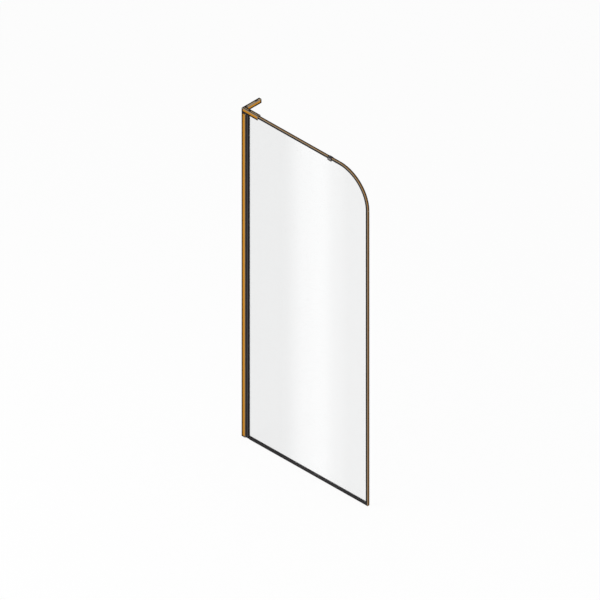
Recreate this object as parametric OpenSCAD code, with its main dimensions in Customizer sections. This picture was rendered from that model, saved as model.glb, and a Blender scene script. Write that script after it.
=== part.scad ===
// Shower side panel: a fixed glass pane with one rounded top corner, held in a wall channel
// and steadied by an L-shaped bracket at the top.
// X runs away from the wall, Y runs along the wall and Z is up.
// The origin is on the wall plane, in the middle of the glass, at the bottom of the panel.

/* [Panel] */
// Width from the wall to the outer face of the edge trim, as drawn
panel_w = 885; // [700:5:1200]
// Height from the tray to the top of the edge trim
panel_h = 2000; // [1800:10:2200]
// Thickness of the glass
glass_t = 8; // [6:1:10]
// Radius of the rounded top corner of the glass
corner_r = 200; // [100:10:300]
// Radius of the soft edge on each metal section
edge_r = 0.5; // [0.3:0.1:0.6]

/* [Width adjustment] */
// How far the panel can slide in towards the wall
travel_in = 10; // [8:1:10]
// How far the panel can slide out from the wall
travel_out = 5; // [2:1:5]
// Clearance on each side of the parts that slide
slide_gap = 0.3; // [0.2:0.05:0.5]
// Clearance between the sliding parts and what they stop short of
end_gap = 0.35; // [0.3:0.05:0.6]
// Clearance above and below the adjusting profile
run_gap = 0.5; // [0.3:0.1:0.8]

/* [Wall channel] */
// Depth of the channel out from the wall
chan_d = 25.5; // [25:0.5:30]
// Width of the channel along the wall
chan_w = 21; // [20:0.5:26]
// Thickness of the back of the channel
chan_web_t = 2; // [1.8:0.1:2.4]
// Thickness of each side of the channel behind its mouth
chan_leg_t = 1.8; // [1.5:0.1:2.2]
// Thickness of the plug in the foot of the channel
foot_t = 2; // [1.5:0.1:3]
// Height of the tabs that grip the plug in the channel
foot_tab_h = 10; // [6:1:20]
// Radius of each wall screw hole in the channel
chan_hole_r = 2.75; // [2.25:0.25:3.25]
// Distance of the outer wall screw holes from each end of the channel
chan_hole_end = 90; // [60:5:150]
// Distance between the two inner wall screw holes
chan_hole_mid = 600; // [400:10:800]

/* [Adjusting profile] */
// Length of the profile that shows between the channel and the glass
prof_out = 20.5; // [18:0.5:24]
// Thickness of the profile's sides
prof_wall = 1.5; // [1.2:0.1:1.8]
// Thickness of the profile's cross web
prof_web = 1.8; // [1.4:0.1:2.4]
// Depth of the pocket that takes the glass edge
pocket_d = 13; // [12:0.5:14]
// Thickness of the gaskets on each side of the glass
gasket_t = 1.5; // [1.2:0.1:1.8]
// How far the gasket bead stands out of the pocket
bead_l = 2; // [1:0.5:3]
// Gap between the glass edge and the cross web
edge_spacer_t = 1; // [0.8:0.1:2]
// Height of each edge spacer and of the block under the glass
spacer_h = 60; // [40:5:100]

/* [Edge trim] */
// Height of the trim over the glass edge, outer face to leg end
trim_h = 8; // [7:0.2:10]
// Thickness of the trim's legs
trim_leg_t = 1.6; // [1.2:0.1:1.8]
// Thickness of the trim's web
trim_web_t = 2; // [1.6:0.1:2.4]
// Thickness of the liner between the glass edge and the trim
liner_t = 1.5; // [1:0.1:2]
// Thickness of the liner on each face of the glass
liner_side_t = 1.4; // [1:0.1:1.6]
// Length of the liner that shows inside the trim
liner_lip = 6; // [4:0.5:7]
// How far the liner's bead stands proud of the glass
liner_bead = 2; // [1.6:0.1:2.4]
// Straight stretch of the bent trim, from the middle of the joiner to the bend
joiner_run = 64; // [30:0.5:150]
// Length of the trim joiner
joiner_l = 29; // [14:1:36]
// Thickness of the trim joiner
joiner_t = 1.2; // [0.8:0.1:1.6]
// How far the joiner's legs reach past the liner's bead
joiner_skirt = 6; // [1:0.5:8]
// Radius of the trim joiner's round corners, seen from the side
joiner_r = 4; // [2:0.5:6]

/* [Bottom seal] */
// Height of the seal from the tray to its top
seal_h = 19; // [16:0.5:24]
// Thickness of the seal on each face of the glass
seal_leg_t = 2; // [1.6:0.1:2.4]
// Height of the glass above the tray
glass_lift = 8.5; // [7:0.5:12]
// Thickness of the seal's floor under the glass
seal_floor_t = 2; // [1.5:0.1:2.5]
// Thickness of each drip fin
fin_t = 1.2; // [0.8:0.1:1.4]

/* [Top bracket] */
// Length of the saddle arm along the glass
saddle_l = 113; // [100:1:140]
// Height of both arms
arm_h = 24.4; // [24:0.2:28]
// How far the arms stand above the edge trim
arm_rise = 4.4; // [4:0.2:5]
// Thickness of the saddle's back against the wall
saddle_back_t = 3; // [2.6:0.2:3.4]
// Length of the solid head of the saddle, over the channel
saddle_head_l = 22; // [21:0.5:22.5]
// Length of the cover plate on top of the saddle
cover_l = 48; // [30:1:60]
// Thickness of the cover plate
cover_t = 2; // [1.5:0.1:2.2]
// Distance from the middle of the glass to the far end of the wall arm
wall_arm_reach = 115; // [100:1:160]
// Depth of the wall arm out from the wall
wall_arm_d = 17; // [16:0.5:20]
// Wall thickness of the wall arm's cover
wall_arm_t = 2; // [1.6:0.1:2.2]
// Length of the block that ends the wall arm
end_cap_l = 17; // [12:1:24]
// Length of the tenon on that block
tenon_l = 12; // [8:1:14]
// Thickness of the plate that holds the wall arm
arm_plate_t = 5; // [4:0.5:5.5]
// Thickness of the plate's foot behind the saddle
arm_foot_t = 6; // [5:0.5:8]
// Distance from the end of the plate to the end of its cover
arm_plate_end = 5; // [2:1:10]
// Gap between the plate and the underside of its cover
arm_plate_lift = 2; // [1.5:0.1:3]
// Metal left under the screw that joins the two arms
joint_margin = 0.5; // [0.4:0.1:1]
// Radius of each wall screw hole in the plate
arm_hole_r = 2.75; // [2.25:0.25:3.25]
// Distance between the plate's two wall screw holes
arm_hole_gap = 46; // [40:1:50]
// Length of the clamp pads along the glass
clamp_l = 22; // [18:1:30]
// Distance from the clamp pads to the end of the saddle
clamp_inset = 7; // [4:1:10]
// Metal left under the clamp pads
clamp_lip = 1; // [0.8:0.1:1.2]
// Depth of the pockets that hold the clamp pads
clamp_pocket = 0.8; // [0.6:0.1:1.2]
// Gap between each clamp pad and the glass while the panel is adjusted
clamp_gap = 0.15; // [0.1:0.05:0.3]
// Gap from the saddle's head to the trim when the panel is pushed in
trim_clear = 4; // [2:0.5:8]

/* [Fixings] */
// Thread radius of the screws that join the bracket
big_screw_r = 2.5; // [2:0.1:2.6]
// Head radius of the screws that join the bracket
big_head_r = 4.2; // [3.6:0.1:4.4]
// Head height of the screw that holds the saddle down
big_head_h = 4.6; // [4:0.1:5]
// Head height of the screw that joins the two arms
low_head_h = 2.4; // [2:0.1:2.6]
// Thread radius of the grub screws and lock screws
small_screw_r = 2; // [1.5:0.1:2]
// Metal left beside a lock screw's tip when the panel is pulled out
lock_margin = 0.15; // [0.1:0.05:0.3]
// Width of the guide land left beside each lock screw
land_margin = 1; // [0.6:0.1:1.6]
// Gap from each lock screw's tip to the profile while the panel is adjusted
lock_tip_gap = 0.05; // [0.05:0.05:0.2]
// Length of thread that holds the saddle's screw in the anchor block
saddle_screw_grip = 11; // [8:0.5:12]
// Thickness of the saddle under the head of its screw
head_floor_t = 4; // [3:0.2:4.6]
// Across-flats width of the sockets in the grub screws, lock screws and low head
hex_af = 2.5; // [2:0.5:3]
// Across-flats width of the socket in the saddle's screw
big_hex_af = 4; // [3:0.5:5]
// Depth of the small hexagon sockets
hex_depth = 1.4; // [1:0.1:1.6]
// Head radius of the lock screws
lock_head_r = 3.8; // [3.4:0.1:3.9]
// Head height of the lock screws
lock_head_h = 2.4; // [2:0.1:3]
// Wall thickness of the round caps over the lock screws
cap_t = 1.4; // [1:0.1:1.5]
// Clearance between a lock screw's head and its cap
cap_gap = 0.3; // [0.2:0.05:0.4]
// Number of lock screws along the channel
lock_count = 3; // [2:1:4]
// Depth of the anchor block out from the back of the channel
anchor_d = 14.7; // [13:0.1:16]
// Height of the anchor block inside the channel
anchor_h = 20; // [18:1:40]
// Clearance between the anchor block and the fork of the adjusting profile
anchor_gap = 0.7; // [0.5:0.05:1]
// Thread radius of the screws that hold the anchor block
anchor_screw_r = 1.5; // [1.2:0.1:1.6]
// Length of the screws that hold the anchor block
anchor_screw_l = 10; // [7:0.5:12]
// Radius of the pegs under the cover plate
peg_r = 1.5; // [1:0.1:1.6]
// Length of the pegs under the cover plate
peg_l = 1.4; // [1:0.1:1.6]

/* [Hidden] */
$fn = 48;
// A cut runs this far past the face that it opens
cut = 1;

// Colours of the finishes
gold = [0.76, 0.53, 0.16];
black = [0.16, 0.15, 0.16];
grey = [0.55, 0.55, 0.56];
steel = [0.72, 0.73, 0.75];
nylon = [0.86, 0.86, 0.84];
tint = [0.85, 0.92, 0.90, 0.45];

// Trim and glass edges
glass_off = liner_t + trim_web_t;
glass_x1 = panel_w - glass_off;
glass_z1 = panel_h - glass_off;
liner_w = glass_t + 2 * liner_side_t;
trim_w = liner_w + 2 * trim_leg_t;
leg_v = glass_off - trim_h;
lip_v = leg_v - liner_lip;
bead_w = glass_t + 2 * liner_bead;
bend_x = glass_x1 - corner_r;
bend_z = glass_z1 - corner_r;
joiner_x = bend_x - joiner_run;

// Adjusting profile
prof_w = glass_t + 2 * (gasket_t + prof_wall);
fork_w = prof_w - 2 * prof_wall;
prof_x0 = chan_web_t + end_gap + travel_in;
prof_z0 = foot_t + run_gap;
prof_x1 = chan_d + prof_out;
pocket_x = prof_x1 - pocket_d;
glass_x0 = pocket_x + edge_spacer_t;

// Lock screws, which still bear on the profile when it is pulled out
cap_r = lock_head_r + cap_gap + cap_t;
cap_h = lock_head_h + cap_gap + cap_t;
lock_x = prof_x0 + travel_out + lock_margin + small_screw_r;

// Inside of the wall channel, with a thicker guide land at its mouth
land_x = lock_x - small_screw_r - land_margin;
land_l = chan_d - land_x;
mouth_w = prof_w + 2 * slide_gap;
inner_w = chan_w - 2 * chan_leg_t;

// Bracket arms
arm_z1 = panel_h + arm_rise;
arm_z0 = arm_z1 - arm_h;
cover_z = arm_z1 - cover_t;
slot_w = trim_w + 2 * slide_gap;
head_slot_w = fork_w + 2 * slide_gap;
slot_z = panel_h + run_gap;
head_z = cover_z - big_head_h - head_floor_t;
trim_x0 = saddle_head_l + travel_in + trim_clear;
prof_z1 = arm_z0 - run_gap;

// Wall screw holes in the channel, an outer and an inner pair
chan_mid_z = arm_z0 / 2;
chan_hole_z = [
    chan_hole_end,
    chan_mid_z - chan_hole_mid / 2,
    chan_mid_z + chan_hole_mid / 2,
    arm_z0 - chan_hole_end
];

lock_z = [for (i = [0 : lock_count - 1]) arm_z0 * (i + 0.5) / lock_count];

// Anchor block in the top of the channel
anchor_w = fork_w - 2 * anchor_gap;
anchor_x1 = chan_web_t + anchor_d;
anchor_z0 = arm_z0 - anchor_h;
anchor_hole_z = [anchor_z0 + anchor_h / 4, anchor_z0 + 3 * anchor_h / 4];
saddle_screw_x = (saddle_back_t + anchor_x1) / 2;
saddle_screw_z0 = head_z - saddle_screw_grip;

// Pegs of the cover plate
peg_x = [saddle_head_l - 2 * peg_r, cover_l - 4 * peg_r];

// Clamp in the saddle
clamp_x1 = saddle_l - clamp_inset;
clamp_x0 = clamp_x1 - clamp_l;
clamp_z0 = arm_z0 + clamp_lip;
clamp_z1 = glass_z1 + lip_v - run_gap;
clamp_z = (clamp_z0 + clamp_z1) / 2;
clamp_y = slot_w / 2 + clamp_pocket;
clamp_screw_x = [clamp_x0 + clamp_l / 4, clamp_x1 - clamp_l / 4];

// Wall arm
arm_y0 = chan_w / 2;
arm_y1 = wall_arm_reach - end_cap_l;
foot_y1 = arm_y0 + arm_foot_t;
plate_z0 = arm_z0 + wall_arm_t + arm_plate_lift;
plate_z1 = arm_z1 - wall_arm_t - slide_gap;
plate_y1 = arm_y1 - arm_plate_end;
arm_hole_y = (foot_y1 + plate_y1) / 2;
arm_hole_z = (plate_z0 + plate_z1) / 2;
arm_screw_y = [arm_hole_y - arm_hole_gap / 4, arm_hole_y + arm_hole_gap / 4];
joint_x = wall_arm_d / 2;
joint_z = plate_z0 + big_screw_r + joint_margin;

// Bottom seal, clear of the gasket beads and ended at the trim
seal_w = glass_t + 2 * seal_leg_t;
seal_floor_z = glass_lift - seal_floor_t;
seal_x0 = prof_x1 + bead_l + end_gap;
seal_x1 = panel_w - trim_h;

// Clip over the joint of the two trims
clip_w = max(trim_w, bead_w);
clip_z0 = glass_z1 + lip_v - joiner_skirt;

// A box between two corners
module block(lo, hi) {
    translate(lo) cube(hi - lo);
}

// A flat rectangle between two corners, with soft corners of radius r
module soft_rect(lo, hi, r) {
    translate([lo.x + r, lo.y]) square([hi.x - lo.x - 2 * r, hi.y - lo.y]);
    translate([lo.x, lo.y + r]) square([hi.x - lo.x, hi.y - lo.y - 2 * r]);
    for (x = [lo.x + r, hi.x - r], y = [lo.y + r, hi.y - r]) translate([x, y]) circle(r);
}

// A flat rectangle centred on the first axis, from y0 to y1
module band(w, y0, y1) {
    translate([-w / 2, y0]) square([w, y1 - y0]);
}

// Extrudes a section drawn in Y and Z along X
module along_x(x0, x1) {
    translate([x0, 0, 0]) rotate([90, 0, 90]) linear_extrude(x1 - x0) children();
}

// Extrudes a section drawn in X and Z along Y
module along_y(y0, y1) {
    translate([0, y1, 0]) rotate([90, 0, 0]) linear_extrude(y1 - y0) children();
}

// Extrudes a section drawn in X and Y along Z
module along_z(z0, z1) {
    translate([0, 0, z0]) linear_extrude(z1 - z0) children();
}

// A round bar along Y from y0 to y1, with its axis at x and z
module rod_y(r, x, z, y0, y1) {
    translate([x, y1, z]) rotate([90, 0, 0]) cylinder(h = y1 - y0, r = r);
}

// A round bar along X from x0 to x1, with its axis at y and z
module rod_x(r, y, z, x0, x1) {
    translate([x0, y, z]) rotate([0, 90, 0]) cylinder(h = x1 - x0, r = r);
}

// A hexagon key socket, sunk along Z from the origin to a depth
module hex_socket(af, depth) {
    translate([0, 0, -depth]) cylinder(h = depth + cut, r = af / sqrt(3), $fn = 6);
}

// Carries a section drawn across and outwards from the glass edge round that edge:
// along the top from x0, round the corner and down the free side to z0
module round_edge(x0, z0) {
    along_x(x0, bend_x) translate([0, glass_z1]) children();
    translate([bend_x, 0, bend_z]) rotate([90, 0, 0])
        rotate_extrude(angle = 90) translate([corner_r, 0]) rotate(-90) children();
    along_z(z0, bend_z) translate([glass_x1, 0]) rotate(-90) children();
}

// Section of the wall channel, open away from the wall
module channel_section() {
    difference() {
        soft_rect([0, -chan_w / 2], [chan_d, chan_w / 2], edge_r);
        translate([chan_web_t, -inner_w / 2]) square([land_x - chan_web_t, inner_w]);
        translate([chan_web_t, -mouth_w / 2]) square([chan_d, mouth_w]);
    }
}

module wall_channel() {
    color(gold) difference() {
        along_z(0, arm_z0) channel_section();
        for (z = chan_hole_z) rod_x(chan_hole_r, 0, z, -cut, chan_web_t + cut);
        for (z = lock_z) rod_y(small_screw_r, lock_x, z, 0, chan_w);
        for (z = anchor_hole_z) countersunk_screw(z);
    }
}

// Plug in the foot of the channel, gripped by two tabs behind the guide lands
module channel_foot_plug() {
    tab_t = (inner_w - mouth_w) / 2;
    color(black) {
        along_z(0, foot_t) {
            translate([chan_web_t, -inner_w / 2]) square([land_x - chan_web_t, inner_w]);
            translate([land_x, -mouth_w / 2]) square([land_l, mouth_w]);
        }
        along_z(foot_t, foot_tab_h) for (y = [-inner_w / 2, mouth_w / 2])
            translate([chan_web_t, y]) square([land_x - chan_web_t, tab_t]);
    }
}

// Block in the top of the channel that the saddle is screwed down to
module anchor_block() {
    y = anchor_w / 2;
    color(steel) difference() {
        union() {
            block([chan_web_t, -y, anchor_z0], [anchor_x1, y, arm_z0]);
            block([saddle_back_t, -y, arm_z0], [anchor_x1, y, head_z]);
        }
        translate([saddle_screw_x, 0, saddle_screw_z0 - end_gap])
            cylinder(h = arm_h, r = big_screw_r);
        for (z = anchor_hole_z)
            rod_x(anchor_screw_r, 0, z, chan_web_t - cut, anchor_screw_l + end_gap);
    }
}

// Countersunk screw through the back of the channel at a height, flush with the wall side
module countersunk_screw(z) {
    head_h = 0.8 * chan_web_t;
    rod_x(anchor_screw_r, 0, z, 0, anchor_screw_l);
    translate([0, 0, z]) rotate([0, 90, 0])
        cylinder(h = head_h, r1 = anchor_screw_r + head_h, r2 = anchor_screw_r);
}

module anchor_screws() {
    color(steel) for (z = anchor_hole_z) countersunk_screw(z);
}

// Screws through the back guide land that press on the side of the adjusting profile
module lock_screws() {
    face_y = chan_w / 2;
    color(steel) for (z = lock_z) difference() {
        union() {
            rod_y(small_screw_r, lock_x, z, prof_w / 2 + lock_tip_gap, face_y);
            rod_y(lock_head_r, lock_x, z, face_y, face_y + lock_head_h);
        }
        translate([lock_x, face_y + lock_head_h, z]) rotate([-90, 0, 0])
            hex_socket(hex_af, hex_depth);
    }
}

// Round caps over the heads of the lock screws
module lock_screw_caps() {
    color(gold) for (z = lock_z)
        translate([lock_x, chan_w / 2, z]) rotate([-90, 0, 0]) rotate_extrude() difference() {
            union() {
                square([cap_r, cap_h - cap_t]);
                square([cap_r - cap_t, cap_h]);
                translate([cap_r - cap_t, cap_h - cap_t]) circle(cap_t);
            }
            translate([0, -cap_h]) square([lock_head_r + cap_gap, cap_h + lock_head_h + cap_gap]);
            translate([0, -cap_h]) square([2 * cap_r, cap_h]);
        }
}

// Section of both arms of the bracket, across from a to b
module arm_section(a, b) {
    soft_rect([a, arm_z0], [b, arm_z1], edge_r);
}

// Arm that sits on the channel and straddles the glass and its trim
module saddle_arm() {
    y = slot_w / 2;
    head_y = head_slot_w / 2;
    color(gold) difference() {
        along_x(0, saddle_l) arm_section(-chan_w / 2, chan_w / 2);
        block([-cut, -chan_w, cover_z], [cover_l, chan_w, arm_z1 + cut]);
        block([saddle_back_t, -head_y, arm_z0 - cut], [saddle_head_l + cut, head_y, head_z]);
        block([saddle_head_l, -y, arm_z0 - cut], [saddle_l + cut, y, slot_z]);
        translate([saddle_screw_x, 0, arm_z0]) cylinder(h = arm_h, r = big_screw_r + slide_gap);
        translate([saddle_screw_x, 0, cover_z - big_head_h])
            cylinder(h = arm_h, r = big_head_r + slide_gap);
        for (x = peg_x) translate([x, 0, cover_z - peg_l]) cylinder(h = arm_h, r = peg_r);
        rod_y(big_screw_r + slide_gap, joint_x, joint_z, 0, chan_w);
        rod_y(big_head_r + slide_gap, joint_x, joint_z, 0, head_y + low_head_h);
        block([clamp_x0, -clamp_y, clamp_z0], [clamp_x1, clamp_y, clamp_z1]);
        for (x = clamp_screw_x) rod_y(small_screw_r, x, clamp_z, 0, chan_w);
    }
}

// Plate that hides the saddle's screw, with two pegs that press into the saddle
module saddle_cover() {
    color(gold) {
        along_x(0, cover_l) intersection() {
            arm_section(-chan_w / 2, chan_w / 2);
            band(chan_w, cover_z, arm_z1);
        }
        for (x = peg_x) translate([x, 0, cover_z - peg_l]) cylinder(h = peg_l, r = peg_r);
    }
}

// Cap screw that clamps the saddle to the anchor block
module saddle_screw() {
    head_z0 = cover_z - big_head_h;
    color(steel) translate([saddle_screw_x, 0, 0]) difference() {
        union() {
            translate([0, 0, saddle_screw_z0])
                cylinder(h = head_z0 - saddle_screw_z0, r = big_screw_r);
            translate([0, 0, head_z0]) cylinder(h = big_head_h, r = big_head_r);
        }
        translate([0, 0, cover_z]) hex_socket(big_hex_af, big_head_h / 2);
    }
}

// Pads that bear on both faces of the glass, in pockets inside the saddle
module clamp_pads() {
    inner_y = glass_t / 2 + clamp_gap;
    color(nylon) for (y = [-clamp_y, inner_y])
        block([clamp_x0, y, clamp_z0], [clamp_x1, y + clamp_y - inner_y, clamp_z1]);
}

// Grub screws that press the back pad on the glass
module clamp_screws() {
    color(steel) for (x = clamp_screw_x) difference() {
        rod_y(small_screw_r, x, clamp_z, clamp_y, chan_w / 2);
        translate([x, chan_w / 2, clamp_z]) rotate([-90, 0, 0]) hex_socket(hex_af, hex_depth);
    }
}

// Screw from inside the saddle into the foot of the wall arm's plate
module arm_joint_screw() {
    head_y = head_slot_w / 2;
    color(steel) difference() {
        union() {
            rod_y(big_head_r, joint_x, joint_z, head_y, head_y + low_head_h);
            rod_y(big_screw_r, joint_x, joint_z, head_y, foot_y1);
        }
        translate([joint_x, head_y, joint_z]) rotate([90, 0, 0]) hex_socket(hex_af, hex_depth);
    }
}

// Plate screwed to the wall inside the wall arm, with a foot behind the saddle
module wall_arm_plate() {
    foot_x1 = wall_arm_d - wall_arm_t - slide_gap;
    color(steel) difference() {
        union() {
            block([0, arm_y0, plate_z0], [foot_x1, foot_y1, plate_z1]);
            block([0, foot_y1, plate_z0], [arm_plate_t, plate_y1, plate_z1]);
        }
        rod_y(big_screw_r, joint_x, joint_z, 0, foot_y1 + cut);
        for (side = [-1, 1]) {
            y = arm_hole_y + side * arm_hole_gap / 2;
            rod_x(arm_hole_r, y, arm_hole_z, -cut, arm_plate_t + cut);
        }
    }
}

// Cover of the wall arm, open towards the wall
module wall_arm_cover() {
    color(gold) difference() {
        along_y(arm_y0, arm_y1) arm_section(0, wall_arm_d);
        block(
            [-cut, arm_y0 - cut, arm_z0 + wall_arm_t],
            [wall_arm_d - wall_arm_t, arm_y1 + cut, arm_z1 - wall_arm_t]
        );
        for (y = arm_screw_y) translate([arm_plate_t / 2, y, arm_z0 - cut])
            cylinder(h = wall_arm_t + 2 * cut, r = small_screw_r);
    }
}

// Grub screws under the wall arm, which press on its plate
module wall_arm_screws() {
    color(steel) for (y = arm_screw_y) translate([arm_plate_t / 2, y, arm_z0]) difference() {
        cylinder(h = plate_z0 - arm_z0, r = small_screw_r);
        rotate([180, 0, 0]) hex_socket(hex_af, hex_depth);
    }
}

// Block that closes the far end of the wall arm, with a tenon inside its cover
module wall_arm_end_cap() {
    color(gold) {
        along_y(arm_y1, wall_arm_reach) arm_section(0, wall_arm_d);
        block(
            [arm_plate_t + slide_gap, arm_y1 - tenon_l, arm_z0 + wall_arm_t],
            [wall_arm_d - wall_arm_t, arm_y1, arm_z1 - wall_arm_t]
        );
    }
}

// Profile with a fork on the wall side and a pocket for the glass on the other
module adjusting_profile() {
    color(black) along_z(prof_z0, prof_z1) difference() {
        soft_rect([prof_x0, -prof_w / 2], [prof_x1, prof_w / 2], edge_r);
        translate([prof_x0 - cut, -fork_w / 2])
            square([pocket_x - prof_web - prof_x0 + cut, fork_w]);
        translate([pocket_x, -fork_w / 2]) square([pocket_d + cut, fork_w]);
    }
}

// Gasket between one face of the glass and the side of its pocket, with a bead outside
module pocket_gasket(side) {
    y0 = glass_t / 2;
    y1 = y0 + gasket_t;
    bead_y = y1 + prof_wall / 2;
    bead_x = prof_x1 + bead_l;
    color(black) along_z(prof_z0, prof_z1) polygon([
        [pocket_x, side * y0],
        [bead_x, side * y0],
        [bead_x, side * (y0 + y1) / 2],
        [prof_x1 + bead_l / 2, side * bead_y],
        [prof_x1, side * bead_y],
        [prof_x1, side * y1],
        [pocket_x, side * y1]
    ]);
}

module front_gasket() {
    pocket_gasket(-1);
}

module back_gasket() {
    pocket_gasket(1);
}

// Spacers beside the glass edge in the pocket, and the block that the glass stands on
module setting_blocks() {
    y = glass_t / 2;
    color(nylon) {
        for (z = lock_z) block([pocket_x, -y, z], [glass_x0, y, z + spacer_h]);
        block([pocket_x, -y, prof_z0], [prof_x1, y, glass_lift]);
    }
}

module glass_pane() {
    color(tint) along_y(-glass_t / 2, glass_t / 2) {
        translate([glass_x0, glass_lift]) square([bend_x - glass_x0, glass_z1 - glass_lift]);
        translate([bend_x - cut, glass_lift]) square([corner_r + cut, bend_z - glass_lift]);
        translate([bend_x, bend_z]) circle(corner_r, $fn = 256);
    }
}

// Section of the trim, with the glass edge at the origin and outwards upwards
module trim_section() {
    difference() {
        soft_rect([-trim_w / 2, leg_v], [trim_w / 2, glass_off], edge_r);
        band(liner_w, leg_v - cut, liner_t);
    }
}

// Section of the liner that beds the glass in the trim, with a bead inside the trim
module liner_section() {
    chamfer_v = lip_v + liner_bead / 2;
    difference() {
        union() {
            band(liner_w, leg_v, liner_t);
            polygon([
                [-bead_w / 2, leg_v],
                [-bead_w / 2, chamfer_v],
                [-glass_t / 2, lip_v],
                [glass_t / 2, lip_v],
                [bead_w / 2, chamfer_v],
                [bead_w / 2, leg_v]
            ]);
        }
        band(glass_t, lip_v - cut, 0);
    }
}

module top_trim() {
    color(gold) along_x(trim_x0, joiner_x) translate([0, glass_z1]) trim_section();
}

module top_trim_liner() {
    color(black) along_x(trim_x0, joiner_x) translate([0, glass_z1]) liner_section();
}

module corner_trim() {
    color(gold) round_edge(joiner_x, 0) trim_section();
}

module corner_trim_liner() {
    color(black) round_edge(joiner_x, seal_h) liner_section();
}

// Clip over the joint of the two trims
module trim_joiner() {
    x0 = joiner_x - joiner_l / 2;
    x1 = x0 + joiner_l;
    y = clip_w / 2 + joiner_t;
    color(grey) intersection() {
        along_x(x0, x1) difference() {
            soft_rect([-y, clip_z0], [y, panel_h + joiner_t], edge_r);
            band(clip_w, clip_z0 - cut, panel_h);
        }
        along_y(-2 * y, 2 * y) soft_rect([x0, clip_z0], [x1, panel_h + joiner_t], joiner_r);
    }
}

// Plug in the open lower end of the trim
module trim_end_plug() {
    y = liner_w / 2;
    color(black) block([panel_w - trim_h, -y, 0], [panel_w - trim_web_t, y, glass_lift]);
}

// Stiff part of the bottom seal, clipped over the lower edge of the glass
module bottom_seal() {
    y = seal_w / 2;
    chamfer = seal_leg_t / 2;
    color(black) along_x(seal_x0, seal_x1) difference() {
        polygon([
            [-y, seal_floor_z],
            [y, seal_floor_z],
            [y, seal_h - chamfer],
            [y - chamfer, seal_h],
            [chamfer - y, seal_h],
            [-y, seal_h - chamfer]
        ]);
        band(glass_t, glass_lift, seal_h + cut);
    }
}

// Two soft fins that close the gap to the tray, and the strip that joins them
module seal_fins() {
    y = seal_w / 2;
    strip_z = seal_floor_z - fin_t;
    color(black) along_x(seal_x0, seal_x1) polygon([
        [-y, 0],
        [fin_t - y, 0],
        [3 * fin_t / 2 - y, strip_z],
        [y - 3 * fin_t / 2, strip_z],
        [y - fin_t, 0],
        [y, 0],
        [y - fin_t / 2, seal_floor_z],
        [fin_t / 2 - y, seal_floor_z]
    ]);
}

wall_channel();
channel_foot_plug();
anchor_block();
anchor_screws();
lock_screws();
lock_screw_caps();
saddle_arm();
saddle_cover();
saddle_screw();
clamp_pads();
clamp_screws();
arm_joint_screw();
wall_arm_plate();
wall_arm_cover();
wall_arm_screws();
wall_arm_end_cap();
adjusting_profile();
front_gasket();
back_gasket();
setting_blocks();
glass_pane();
top_trim();
top_trim_liner();
corner_trim();
corner_trim_liner();
trim_joiner();
trim_end_plug();
bottom_seal();
seal_fins();
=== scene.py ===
# %% [markdown]
# # A shower side panel, dressed around its solid model
# The solid model of the panel is already made: every piece has its real size and place. Here each
# piece gets the look of the real thing. Pieces whose shape follows a rule are made again with finer
# detail, and the others keep their solid shape and get a better finish. All of it is in metres, with
# X away from the wall along the glass, Y along the wall and Z up.

# %% Load the solid model
import math

import bmesh
import bpy
from mathutils import Matrix, Vector


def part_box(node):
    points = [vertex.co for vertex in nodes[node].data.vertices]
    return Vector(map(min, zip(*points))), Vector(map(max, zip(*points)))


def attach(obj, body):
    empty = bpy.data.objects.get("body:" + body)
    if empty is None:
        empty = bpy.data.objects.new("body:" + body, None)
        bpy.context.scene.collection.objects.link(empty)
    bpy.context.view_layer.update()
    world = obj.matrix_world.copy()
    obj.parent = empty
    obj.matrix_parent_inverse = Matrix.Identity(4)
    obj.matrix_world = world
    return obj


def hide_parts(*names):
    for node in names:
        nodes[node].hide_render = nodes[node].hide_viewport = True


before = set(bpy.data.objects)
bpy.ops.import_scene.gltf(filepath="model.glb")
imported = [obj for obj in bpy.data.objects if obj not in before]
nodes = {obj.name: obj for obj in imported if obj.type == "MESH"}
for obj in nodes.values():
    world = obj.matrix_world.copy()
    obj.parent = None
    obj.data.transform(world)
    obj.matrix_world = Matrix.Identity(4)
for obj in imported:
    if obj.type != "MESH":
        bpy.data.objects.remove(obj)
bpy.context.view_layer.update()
MM = 0.001
print("pieces in the solid model:", len(nodes))

# %% [markdown]
# ## The camera
# The panel is drawn without perspective: edges that run the same way stay parallel, so the camera is
# orthographic. A tall narrow thing looks calm that way, and its height and width can be measured in
# the picture. The two angles and the width of the view are what put the corners of the channel, the
# bracket and the bent trim where they belong.

# %% Camera
AZIMUTH = math.radians(44.7)
ELEVATION = math.radians(34.8)
VIEW_WIDTH = 3.0095
VIEW_CENTRE = Vector((0.402, 0.0, 1.0206))
CAMERA_AWAY = 6.0


def set_all(thing, **settings):
    """Gives a thing several settings at once."""
    for name, value in settings.items():
        setattr(thing, name, value)
    return thing


def add_object(name, data, **settings):
    """Puts a new object that holds the given data in the scene."""
    thing = bpy.data.objects.new(name, data)
    bpy.context.scene.collection.objects.link(thing)
    return set_all(thing, **settings)


towards_camera = Vector((
    math.sin(AZIMUTH) * math.cos(ELEVATION),
    -math.cos(AZIMUTH) * math.cos(ELEVATION),
    math.sin(ELEVATION),
))
camera = add_object(
    "camera", set_all(bpy.data.cameras.new("camera"), type="ORTHO", ortho_scale=VIEW_WIDTH),
    location=VIEW_CENTRE + towards_camera * CAMERA_AWAY,
    rotation_euler=towards_camera.to_track_quat("Z", "Y").to_euler(),
)
bpy.context.scene.camera = camera
bpy.context.scene.view_settings.view_transform = "Standard"
print("camera stands at", [round(v, 2) for v in camera.location])

# %% [markdown]
# ## A small vocabulary for node trees
# Shader trees and Geometry Nodes trees are both graphs of nodes. Written out in full, each node takes
# five or six lines, so some helpers keep the rest of this file short. The first puts a node in a tree
# and fills its inputs with values or links. The others make the steps that come back often, and start
# and end a named group.

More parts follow.
